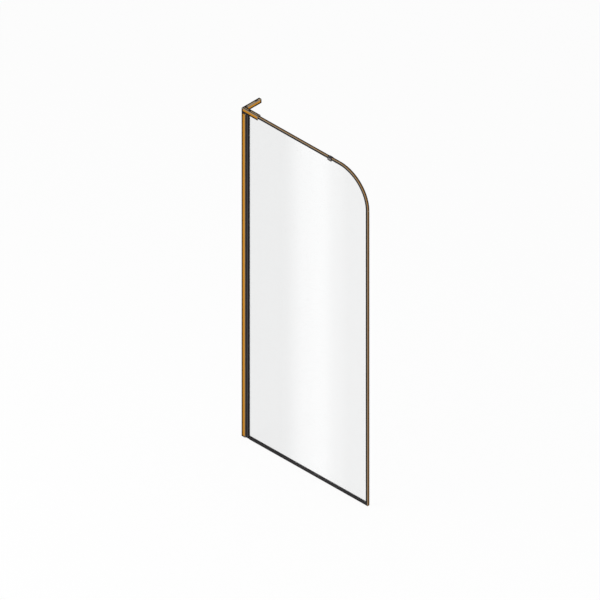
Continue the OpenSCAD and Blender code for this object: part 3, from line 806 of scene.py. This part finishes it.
# %% [markdown]
# ## Growing pieces with Geometry Nodes
# A modifier that runs a Geometry Nodes tree can make a whole piece from a few sizes. Each tree below
# ends in a plain mesh: the helper gives the tree its sizes, takes the mesh that comes out, merges the
# points that coincide and throws the maker away. A size is set by its socket's identifier, because
# the modifier doesn't know the sockets by name.

# %% Helpers for growing pieces
CREASE = 32
MERGE_GAP = 0.0005 * MM
INDEX_SLACK = 0.1


def start_tree(name, sizes):
    """Starts a Geometry Nodes tree, which takes its sizes and a material and gives out a mesh."""
    inputs = {**sizes, "Material": "Material"}
    return start_group(name, inputs, {"Geometry": "Geometry"}, "GeometryNodeTree")


def smooth_by_angle(geometry, degrees=CREASE):
    """Shades a mesh smooth, and keeps edges sharper than an angle crisp."""
    tree = geometry.id_data
    smooth = put(tree, "GeometryNodeSetShadeSmooth", {"Geometry": geometry, "Shade Smooth": True})
    angle = put(tree, "GeometryNodeInputMeshEdgeAngle").outputs[0]
    flat_enough = is_less(angle, math.radians(degrees))
    return put(
        tree, "GeometryNodeSetShadeSmooth",
        {"Geometry": smooth.outputs[0], "Shade Smooth": flat_enough}, domain="EDGE",
    ).outputs[0]


def is_point(tree, number):
    """One at the point with this number, and zero at the others."""
    index = put(tree, "GeometryNodeInputIndex").outputs[0]
    return is_near(index, number, INDEX_SLACK)


def round_corners(curve, steps, radius):
    """Rounds the corners of a curve with an arc of so many steps."""
    inputs = {"Curve": curve, "Count": steps, "Radius": radius}
    return put(curve.id_data, "GeometryNodeFilletCurve", inputs, mode="POLY").outputs[0]


def end_tree(tree, geometry, ins, outs):
    """The last steps of every tree: real geometry instead of instances, and the material."""
    real = put(tree, "GeometryNodeRealizeInstances", {"Geometry": geometry}).outputs[0]
    dressed = put(tree, "GeometryNodeSetMaterial", {"Geometry": real, "Material": ins["Material"]})
    return end_group(tree, outs, {"Geometry": dressed.outputs[0]})


def grow(name, tree, sizes):
    """Runs a tree with its named sizes and returns the result as a plain mesh object."""
    maker = add_object(name + "_maker", bpy.data.meshes.new(name + "_maker"))
    modifier = set_all(maker.modifiers.new("grow", "NODES"), node_group=tree)
    for socket in tree.interface.items_tree:
        if socket.in_out == "INPUT" and socket.name in sizes:
            modifier[socket.identifier] = sizes[socket.name]
    graph = bpy.context.evaluated_depsgraph_get()
    mesh = bpy.data.meshes.new_from_object(
        maker.evaluated_get(graph), preserve_all_data_layers=True, depsgraph=graph,
    )
    bpy.data.objects.remove(maker)
    shape = bmesh.new()
    shape.from_mesh(mesh)
    bmesh.ops.remove_doubles(shape, verts=shape.verts, dist=MERGE_GAP)
    bmesh.ops.recalc_face_normals(shape, faces=shape.faces)
    open_edges = sum(not edge.is_manifold for edge in shape.edges)
    shape.to_mesh(mesh)
    shape.free()
    mesh.name = name
    print("grew", name, "with", len(mesh.polygons), "faces,", open_edges, "open edges")
    return add_object(name, mesh)


def settle(piece, body, slot, *replaced):
    """Fixes a piece to its body and hides the solids that it stands for. The slot is not used."""
    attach(piece, body)
    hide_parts(*replaced)


# %% [markdown]
# ## Drawn sections
# Trims, liners, gaskets, seals and profiles are all one section drawn along a path. A section is a
# closed outline with its own corner radii, and a curve object holds it while the tree runs. Most of
# them are symmetric, so only one half of their corners is written down.

# %% Helpers for sections
CORNER_STEPS = 4


def section(name, corners):
    """A closed outline as a curve. Each corner is across, up and its radius, in metres."""
    points = []
    for number, (across, up, radius) in enumerate(corners):
        here = Vector((across, up))
        if radius == 0:
            points.append(here)
            continue
        back = (Vector(corners[number - 1][:2]) - here).normalized()
        on = (Vector(corners[(number + 1) % len(corners)][:2]) - here).normalized()
        half_turn = back.angle(on) / 2
        centre = here + (back + on).normalized() * (radius / math.sin(half_turn))
        first = here + back * (radius / math.tan(half_turn)) - centre
        last = here + on * (radius / math.tan(half_turn)) - centre
        turn = math.atan2(first.x * last.y - first.y * last.x, first.dot(last))
        for step in range(CORNER_STEPS + 1):
            points.append(centre + Matrix.Rotation(turn * step / CORNER_STEPS, 2) @ first)
    curve = bpy.data.curves.new(name, "CURVE")
    curve.dimensions = "3D"
    spline = curve.splines.new("POLY")
    spline.points.add(len(points) - 1)
    for point, place in zip(spline.points, points):
        point.co = (place.x, place.y, 0, 1)
    spline.use_cyclic_u = True
    return bpy.data.objects.new(name, curve)


def both_sides(half, across=-1, up=1):
    """A whole outline from one half: its corners, and then the same ones mirrored, in reverse."""
    return half + [(x * across, y * up, radius) for x, y, radius in reversed(half)]


# %% [markdown]
# The tree for drawn pieces takes the section, the two ends of the path, its corner and the radius of
# the bend. A line of three points is bent at its middle one, the bend is rounded by a fillet of many
# small steps, and the section is swept along it. With a radius of nothing and the corner on the line,
# the same tree draws a straight piece.

# %% Tree: a section drawn along an edge
BEND_STEPS = 90


def make_drawn_tree():
    tree, ins, outs = start_tree("drawn_piece", {
        "Section": "Object", "Start": "Vector", "Corner": "Vector", "End": "Vector",
        "Radius": "Float", "Steps": "Int",
    })
    line = put(tree, "GeometryNodeCurvePrimitiveLine", {"Start": ins["Start"], "End": ins["End"]})
    three = put(tree, "GeometryNodeResampleCurve", {"Curve": line.outputs[0], "Count": 3})
    bent = put(
        tree, "GeometryNodeSetPosition",
        {"Geometry": three.outputs[0], "Selection": is_point(tree, 1.0), "Position": ins["Corner"]},
    )
    path = round_corners(bent.outputs[0], ins["Steps"], ins["Radius"])
    outline = put(tree, "GeometryNodeObjectInfo", {"Object": ins["Section"]}).outputs["Geometry"]
    swept = put(
        tree, "GeometryNodeCurveToMesh", {"Curve": path, "Profile Curve": outline, "Fill Caps": True},
    )
    return end_tree(tree, smooth_by_angle(swept.outputs[0]), ins, outs)


drawn_tree = make_drawn_tree()
LOW, HIGH = 0, 1


def draw(node, slot, name, outline, path, material, radius=0.0, steps=1):
    """Draws a piece of the glass side along a path of its start, its corner and its end."""
    start, corner, end = map(Vector, path)
    piece = grow(name, drawn_tree, {
        "Section": outline, "Start": start, "Corner": corner, "End": end,
        "Radius": radius, "Steps": steps, "Material": material,
    })
    settle(piece, "glass_side", slot, node)


def draw_straight(node, slot, name, outline, run, height, material):
    """Draws along an axis, at a height, from end to end of the solid that the piece stands for."""
    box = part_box(node)
    start, end = Vector((0, 0, height)), Vector((0, 0, height))
    start[run], end[run] = box[LOW][run], box[HIGH][run]
    draw(node, slot, name, outline, (start, (start + end) / 2, end), material)


def draw_round_corner(node, slot, name, outline, material):
    """Draws along the top of the glass, round its corner and down its side."""
    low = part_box(node)[LOW]
    path = ((low.x, 0, glass_hi.z), (glass_hi.x, 0, glass_hi.z), (glass_hi.x, 0, low.z))
    draw(node, slot, name, outline, path, material, CORNER_R, BEND_STEPS)


# %% [markdown]
# ## Edge trims and their liners
# The trim is a slim U of gold metal that grips the glass edge over a black liner. One length runs
# straight along the top, and another is bent round the corner and runs down the free side. Its edges
# are eased, because a sharp extrusion would cut a hand.

# %% Edge trims and liners
LEG_T = 1.6 * MM
BEAD_CHAMFER = 1.0 * MM
SOFT = 0.5 * MM
CRISP = 0.25 * MM
liner_lo, liner_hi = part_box("top_trim_liner")
half_trim = trim_hi.y
half_liner = half_trim - LEG_T
liner_out = liner_hi.z - glass_hi.z
liner_in = liner_lo.z - glass_hi.z
bead_half = liner_hi.y
half_glass = glass_hi.y
rubber = plain["rubber_level"]

trim_section = section("trim_section", both_sides([
    (half_trim, -trim_out, SOFT), (half_trim, -trim_in, CRISP),
    (half_liner, -trim_in, CRISP), (half_liner, -liner_out, 0),
]))
liner_section = section("liner_section", both_sides([
    (half_liner, -liner_out, 0), (half_liner, -trim_in, 0), (bead_half, -trim_in, CRISP),
    (bead_half, -liner_in - BEAD_CHAMFER, SOFT), (half_glass, -liner_in, CRISP), (half_glass, 0, 0),
]))
draw_straight("top_trim", "gold_aluminium", "top_trim_metal", trim_section, X, glass_hi.z, gold_trim)
draw_straight("top_trim_liner", "black_rubber", "top_trim_rubber", liner_section, X, glass_hi.z, rubber)
draw_round_corner("corner_trim", "gold_aluminium", "corner_trim_metal", trim_section, gold_trim)
draw_round_corner("corner_trim_liner", "black_rubber", "corner_trim_rubber", liner_section, rubber)

# %% [markdown]
# ## The pane
# The pane is a sheet with one round corner. The tree draws its outline flat, rounds the one corner,
# fills it, gives it its thickness and turns it upright. The cut edges of toughened glass are ground
# to a small bright bevel, which a bevel modifier adds.

# %% Glass pane
GLASS_EASE = 0.05 * MM
ARRIS = 0.5 * MM
ARRIS_ANGLE = math.radians(50)
SAME_PLACE = 0.001 * MM
QUARTER_TURN = math.pi / 2


def make_pane_tree():
    tree, ins, outs = start_tree("glass_sheet", {
        "Low Corner": "Vector", "High Corner": "Vector", "Corner Radius": "Float", "Steps": "Int",
        "Thickness": "Float",
    })
    low = split(ins["Low Corner"])
    high = split(ins["High Corner"])
    outline = put(tree, "GeometryNodeCurvePrimitiveQuadrilateral", mode="POINTS")
    corners = [(low["X"], low["Z"]), (high["X"], low["Z"]), (high["X"], high["Z"]), (low["X"], high["Z"])]
    for number, corner in enumerate(corners):
        tree.links.new(combine(tree, *corner), outline.inputs[f"Point {number + 1}"])
    is_round = is_point(tree, 2.0)
    radius = times(is_round, ins["Corner Radius"])
    steps = times_plus(is_round, minus(ins["Steps"], 1.0), 1.0)
    rounded = round_corners(outline.outputs[0], steps, radius)
    face = put(tree, "GeometryNodeFillCurve", {"Curve": rounded}, mode="NGONS")
    raised = put(
        tree, "GeometryNodeExtrudeMesh",
        {"Mesh": face.outputs[0], "Offset Scale": ins["Thickness"], "Individual": False},
    )
    back = put(tree, "GeometryNodeFlipFaces", {"Mesh": face.outputs[0]})
    whole = put(tree, "GeometryNodeJoinGeometry")
    tree.links.new(raised.outputs[0], whole.inputs[0])
    tree.links.new(back.outputs[0], whole.inputs[0])
    merged = put(
        tree, "GeometryNodeMergeByDistance", {"Geometry": whole.outputs[0], "Distance": SAME_PLACE},
    )
    upward = put(tree, "FunctionNodeEulerToRotation", {"Euler": (QUARTER_TURN, 0, 0)})
    to_middle = combine(tree, 0.0, times(ins["Thickness"], 0.5))
    upright = put(
        tree, "GeometryNodeTransform",
        {"Geometry": merged.outputs[0], "Rotation": upward.outputs[0], "Translation": to_middle},
    )
    return end_tree(tree, smooth_by_angle(upright.outputs[0]), ins, outs)


ease = Vector((GLASS_EASE, GLASS_EASE, GLASS_EASE))
pane = grow("glass_sheet", make_pane_tree(), {
    "Low Corner": glass_lo + ease, "High Corner": glass_hi - ease, "Corner Radius": CORNER_R - GLASS_EASE,
    "Steps": BEND_STEPS, "Thickness": 2 * (half_glass - GLASS_EASE), "Material": glass,
})
arris = pane.modifiers.new("ground_edge", "BEVEL")
set_all(arris, width=ARRIS, segments=1, limit_method="ANGLE", angle_limit=ARRIS_ANGLE)
settle(pane, "glass_side", "safety_glass", "glass_pane")

# %% [markdown]
# ## The adjusting profile, its gaskets and the bottom seal
# These are straight drawn pieces. The profile is a fork on the wall side and a pocket on the glass
# side, with a cross web between. Each gasket is wedged in the pocket and its bead shows outside. The
# seal is a stiff clip on the lower glass edge with two thin soft fins under it.

# %% Adjusting profile and gaskets
PROFILE_WALL = 1.5 * MM
PROFILE_WEB = 1.8 * MM
profile_lo, profile_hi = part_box("adjusting_profile")
gasket_lo, gasket_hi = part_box("back_gasket")
inner = profile_hi.y - PROFILE_WALL
web_x = gasket_lo.x - PROFILE_WEB

profile_section = section("profile_section", both_sides([
    (web_x, -inner, SOFT), (profile_lo.x, -inner, CRISP), (profile_lo.x, -profile_hi.y, SOFT),
    (profile_hi.x, -profile_hi.y, SOFT), (profile_hi.x, -inner, CRISP), (gasket_lo.x, -inner, SOFT),
], across=1, up=-1))
draw_straight(
    "adjusting_profile", "dark_aluminium", "adjusting_profile_metal", profile_section, Z, 0,
    plain["black_anodised"],
)


def gasket_section(name, side):
    """The gasket in its pocket, with a rounded bead outside, on the side of plus or minus one."""
    lip_y = (half_glass + inner) / 2
    middle_x = (profile_hi.x + gasket_hi.x) / 2
    corners = [
        (gasket_lo.x, half_glass, 0), (gasket_hi.x, half_glass, CRISP), (gasket_hi.x, lip_y, SOFT),
        (middle_x, gasket_hi.y, SOFT), (profile_hi.x, gasket_hi.y, CRISP), (profile_hi.x, inner, 0),
        (gasket_lo.x, inner, 0),
    ]
    return section(name, [(x, side * y, radius) for x, y, radius in corners])


for node, side in [("front_gasket", -1), ("back_gasket", 1)]:
    outline = gasket_section(node + "_rubber_section", side)
    draw_straight(node, "black_rubber", node + "_rubber", outline, Z, 0, plain["rubber_upright"])

# %% Bottom seal and its fins
FIN_T = 1.2 * MM
SEAL_CHAMFER = 1.0 * MM
seal_lo, seal_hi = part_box("bottom_seal")
fins_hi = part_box("seal_fins")[HIGH]

seal_section = section("seal_section", both_sides([
    (-seal_hi.y, -seal_lo.z, 0), (-seal_hi.y, -(seal_hi.z - SEAL_CHAMFER), SOFT),
    (SEAL_CHAMFER - seal_hi.y, -seal_hi.z, CRISP), (-half_glass, -seal_hi.z, CRISP),
    (-half_glass, -glass_lo.z, 0),
]))
draw_straight("bottom_seal", "black_seal", "bottom_seal_vinyl", seal_section, X, 0, plain["seal_vinyl"])

strip_z = fins_hi.z - FIN_T
fins_section = section("fins_section", both_sides([
    (fins_hi.y - FIN_T / 2, -fins_hi.z, 0), (fins_hi.y, 0, 0), (fins_hi.y - FIN_T, 0, 0),
    (fins_hi.y - 1.5 * FIN_T, -strip_z, SOFT),
]))
draw_straight("seal_fins", "black_rubber", "seal_fins_rubber", fins_section, X, 0, rubber)

# %% [markdown]
# ## Turned pieces
# Screws and round caps are turned: a stack of rings round one axis. A ring's radius may change round
# its turn, which makes a helical thread, a hexagon socket or the ribs on a cap. Each kind is made
# once along Z, and a tree sets it out in a row along a line, turned to face the right way.

# %% Helpers for turned pieces
SIDES = 24
THREAD_DEPTH = 0.54
TIP_SHARE = 0.8
TIP_CHAMFER = 0.25 * MM
HEAD_FOOT = 0.1 * MM
HEAD_CROWN = 0.3 * MM
SOCKET_FLARE = 0.15 * MM
SOCKET_WALL = 0.12 * MM
SOCKET_POINT = 0.2 * MM


def turned(name, rings, sides=SIDES):
    """Skins a stack of rings, each a height and a radius or a function of the turn, and closes its ends."""
    shape = bmesh.new()
    turns = [math.tau * number / sides for number in range(sides)]
    loops = []
    for height, radius in rings:
        reach = [radius(turn) if callable(radius) else radius for turn in turns]
        ring = [(r * math.cos(turn), r * math.sin(turn), height) for r, turn in zip(reach, turns)]
        loops.append([shape.verts.new(corner) for corner in ring])
    for low, high in zip(loops, loops[1:]):
        for number in range(sides):
            after = (number + 1) % sides
            shape.faces.new((low[number], low[after], high[after], high[number]))
    shape.faces.new(reversed(loops[0]))
    shape.faces.new(loops[-1])
    mesh = bpy.data.meshes.new(name)
    shape.to_mesh(mesh)
    shape.free()
    return bpy.data.objects.new(name, mesh)


def hexagon(flats):
    """Radius of a hexagon with a distance between its flats, by the turn."""
    sixth = math.tau / 6
    return lambda turn: flats / 2 / math.cos((turn + sixth / 2) % sixth - sixth / 2)


def screw(
    name, shank_r, shank_l, pitch, head_r=0.0, head_h=0.0, cone_h=0.0, flats=2.5 * MM, socket=1.4 * MM,
):
    """A socket screw from its tip at zero upwards: threaded shank, then a head, a cone or nothing."""
    depth = THREAD_DEPTH * pitch
    quarter = pitch / 4

    def thread(height):
        return lambda turn: shank_r - depth * abs(2 * ((height / pitch - turn / math.tau) % 1) - 1)

    root = shank_r - depth
    top = shank_l + head_h
    count = int((shank_l - cone_h - 2 * quarter) / quarter)
    rings = [(0, root * TIP_SHARE), (quarter, root)]
    rings += [(quarter * (2 + step), thread(quarter * step)) for step in range(count - 1)]
    if head_r:
        rings += [(shank_l - quarter / 2, shank_r), (shank_l, shank_r), (shank_l, head_r - HEAD_FOOT)]
        rings += [(shank_l + HEAD_FOOT, head_r), (top - HEAD_CROWN, head_r), (top, head_r - HEAD_CROWN)]
        rim = head_r
    elif cone_h:
        rings += [(shank_l - cone_h, shank_r), (shank_l, shank_r + cone_h)]
        rim = shank_r + cone_h
    else:
        rings += [(shank_l - TIP_CHAMFER, root + depth / 2), (shank_l, root)]
        rim = root
    mouth = min(flats / math.sqrt(3) + SOCKET_FLARE, rim - SOCKET_WALL)
    rings += [(top, mouth), (top - SOCKET_FLARE, hexagon(flats)), (top - socket, hexagon(flats))]
    rings += [(top - socket - SOCKET_POINT, flats / 6)]
    return turned(name, rings)


# %% Tree: a row of equal pieces
ROW_CREASE = 40
TURNS = {
    (X, HIGH): (0, -QUARTER_TURN, 0),
    (Y, LOW): (-QUARTER_TURN, 0, 0),
    (Y, HIGH): (QUARTER_TURN, 0, 0),
    (Z, LOW): (0, 0, 0),
    (Z, HIGH): (math.pi, 0, 0),
}


def make_row_tree():
    tree, ins, outs = start_tree("row_of_pieces", {
        "Piece": "Object", "Count": "Int", "Start": "Vector", "Step": "Vector", "Turn": "Vector",
    })
    line = put(
        tree, "GeometryNodeMeshLine",
        {"Count": ins["Count"], "Start Location": ins["Start"], "Offset": ins["Step"]},
        mode="OFFSET",
    )
    one = put(tree, "GeometryNodeObjectInfo", {"Object": ins["Piece"]})
    facing = put(tree, "FunctionNodeEulerToRotation", {"Euler": ins["Turn"]})
    row = put(
        tree, "GeometryNodeInstanceOnPoints",
        {"Points": line.outputs[0], "Instance": one.outputs["Geometry"], "Rotation": facing.outputs[0]},
    )
    real = put(tree, "GeometryNodeRealizeInstances", {"Geometry": row.outputs[0]})
    return end_tree(tree, smooth_by_angle(real.outputs[0], ROW_CREASE), ins, outs)


row_tree = make_row_tree()


def set_out(name, piece, node, tips, count, run, reach, material, slot):
    """Sets a piece out in a row inside a solid's box. The tips are at one end of one axis of the box.
    The row runs along another axis, and its first and last pieces lie their reach from the box's ends."""
    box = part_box(node)
    start = (box[LOW] + box[HIGH]) / 2
    step = Vector((0, 0, 0))
    if count > 1:
        start[run] = box[LOW][run] + reach
        step[run] = (box[HIGH][run] - box[LOW][run] - 2 * reach) / (count - 1)
    axis, end = tips
    start[axis] = box[end][axis]
    row = grow(name, row_tree, {
        "Piece": piece, "Count": count, "Start": start, "Step": step, "Turn": Vector(TURNS[tips]),
        "Material": material,
    })
    settle(row, "wall_side", slot, node)


# %% [markdown]
# ## Screws and caps
# The lock screws press on the adjusting profile from behind and have low round heads under ribbed
# caps. The clamp screws and those under the wall arm are grub screws, without heads. Two cap screws
# join the bracket, and two countersunk screws hold the anchor block in the channel.

# %% Screws
SMALL_R, SMALL_PITCH = 2.0 * MM, 0.7 * MM
BIG_R, BIG_PITCH = 2.5 * MM, 0.8 * MM
ANCHOR_R, ANCHOR_PITCH = 1.5 * MM, 0.5 * MM
BIG_HEAD_R = 4.2 * MM
LOW_HEAD_H = 2.4 * MM


def set_screws(row_name, name, node, tips, count, run, shank_r, pitch, **head):
    """Makes a screw as long as its solid and sets it out there."""
    low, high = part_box(node)
    axis = tips[0]
    shank_l = high[axis] - low[axis] - head.get("head_h", 0.0)
    reach = head.get("head_r", shank_r + head.get("cone_h", 0.0))
    piece = screw(name, shank_r, shank_l, pitch, **head)
    set_out(row_name, piece, node, tips, count, run, reach, plain["screw_steel"], "stainless")


set_screws(
    "lock_screw_row", "lock_screw", "lock_screws", (Y, LOW), 3, Z, SMALL_R, SMALL_PITCH,
    head_r=3.8 * MM, head_h=LOW_HEAD_H,
)
set_screws("clamp_screw_pair", "clamp_screw", "clamp_screws", (Y, LOW), 2, X, SMALL_R, SMALL_PITCH)
set_screws(
    "wall_arm_screw_pair", "wall_arm_screw", "wall_arm_screws", (Z, HIGH), 2, Y, SMALL_R, SMALL_PITCH,
)
set_screws(
    "saddle_cap_screw_set", "saddle_cap_screw", "saddle_screw", (Z, LOW), 1, X, BIG_R, BIG_PITCH,
    head_r=BIG_HEAD_R, head_h=4.6 * MM, flats=4 * MM, socket=2.3 * MM,
)
set_screws(
    "anchor_screw_pair", "anchor_screw", "anchor_screws", (X, HIGH), 2, Z, ANCHOR_R, ANCHOR_PITCH,
    flats=2 * MM, socket=1.2 * MM, cone_h=1.6 * MM,
)
set_screws(
    "joint_screw_set", "joint_screw", "arm_joint_screw", (Y, HIGH), 1, X, BIG_R, BIG_PITCH,
    head_r=BIG_HEAD_R, head_h=LOW_HEAD_H,
)

# %% Ribbed caps over the lock screws
CAP_T = 1.4 * MM
CAP_SIDES = 72
RIB = 0.18 * MM
DOME_ANGLES = range(15, 91, 15)
FOOT_IN, FOOT_H = 0.4 * MM, 0.25 * MM
DIMPLE_R, DIMPLE_FLOOR_R, DIMPLE_DEPTH = 1.9 * MM, 1.6 * MM, 0.2 * MM
cap_lo, cap_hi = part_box("lock_screw_caps")
cap_r = (cap_hi.x - cap_lo.x) / 2
cap_h = cap_hi.y - cap_lo.y
bore_r = cap_r - CAP_T
shoulder = cap_h - CAP_T


def ribbed(radius):
    """A round outline with a small rib on every third side."""
    return lambda turn: radius - (0 if round(turn / math.tau * CAP_SIDES) % 3 == 0 else RIB)


cap_rings = [(shoulder, bore_r), (0, bore_r), (0, cap_r - FOOT_IN), (FOOT_H, ribbed(cap_r))]
cap_rings += [(shoulder, ribbed(cap_r))]
cap_rings += [
    (shoulder + CAP_T * math.sin(angle), cap_r - CAP_T + CAP_T * math.cos(angle) - RIB)
    for angle in map(math.radians, DOME_ANGLES)
]
cap_rings += [(cap_h, DIMPLE_R), (cap_h - DIMPLE_DEPTH, DIMPLE_FLOOR_R)]
cap = turned("lock_cap", cap_rings, CAP_SIDES)
gold_cap = plain["gold_cap_plastic"]
set_out("lock_cap_row", cap, "lock_screw_caps", (Y, LOW), 3, Z, cap_r, gold_cap, "gold_caps")

# %% [markdown]
# ## Pieces that keep their solid shape
# The wall channel, the bracket and the small inner pieces already have their true shape. They keep
# it, with their own finish. A real edge is never perfectly sharp, so a bevel of a few tenths of a
# millimetre catches the light along it. The solid comes as loose triangles, which a weld joins first.

# %% Finish the solid pieces
EASE = 0.3 * MM
PAD_EASE = 0.4 * MM
FLAT_ANGLE = math.radians(0.5)
EDGE_ANGLE = math.radians(40)


def dress(node, material, ease=EASE):
    piece = nodes[node]
    piece.data.materials.clear()
    piece.data.materials.append(material)
    set_all(piece.modifiers.new("weld", "WELD"), merge_threshold=SAME_PLACE)
    if ease:
        flat = piece.modifiers.new("flat_faces", "DECIMATE")
        set_all(flat, decimate_type="DISSOLVE", angle_limit=FLAT_ANGLE)
        bevel = piece.modifiers.new("eased_edges", "BEVEL")
        set_all(bevel, width=ease, segments=2, limit_method="ANGLE", angle_limit=EDGE_ANGLE)
    set_all(piece.modifiers.new("shading", "WEIGHTED_NORMAL"), keep_sharp=True)


dress("wall_channel", gold_channel, ease=0)
dress("saddle_arm", gold_saddle)
dress("saddle_cover", gold_saddle)
dress("wall_arm_cover", gold_wall_arm)
dress("wall_arm_end_cap", gold_wall_arm)
dress("wall_arm_plate", plain["steel_plate"])
dress("anchor_block", plain["cast_zinc"])
dress("clamp_pads", plain["nylon"], ease=PAD_EASE)
dress("setting_blocks", plain["nylon"], ease=0)
dress("channel_foot_plug", plain["black_moulded"])
dress("trim_end_plug", plain["black_moulded"])
dress("trim_joiner", plain["clip_plastic"])
print("finished", sum(not piece.hide_render for piece in nodes.values()), "solid pieces")
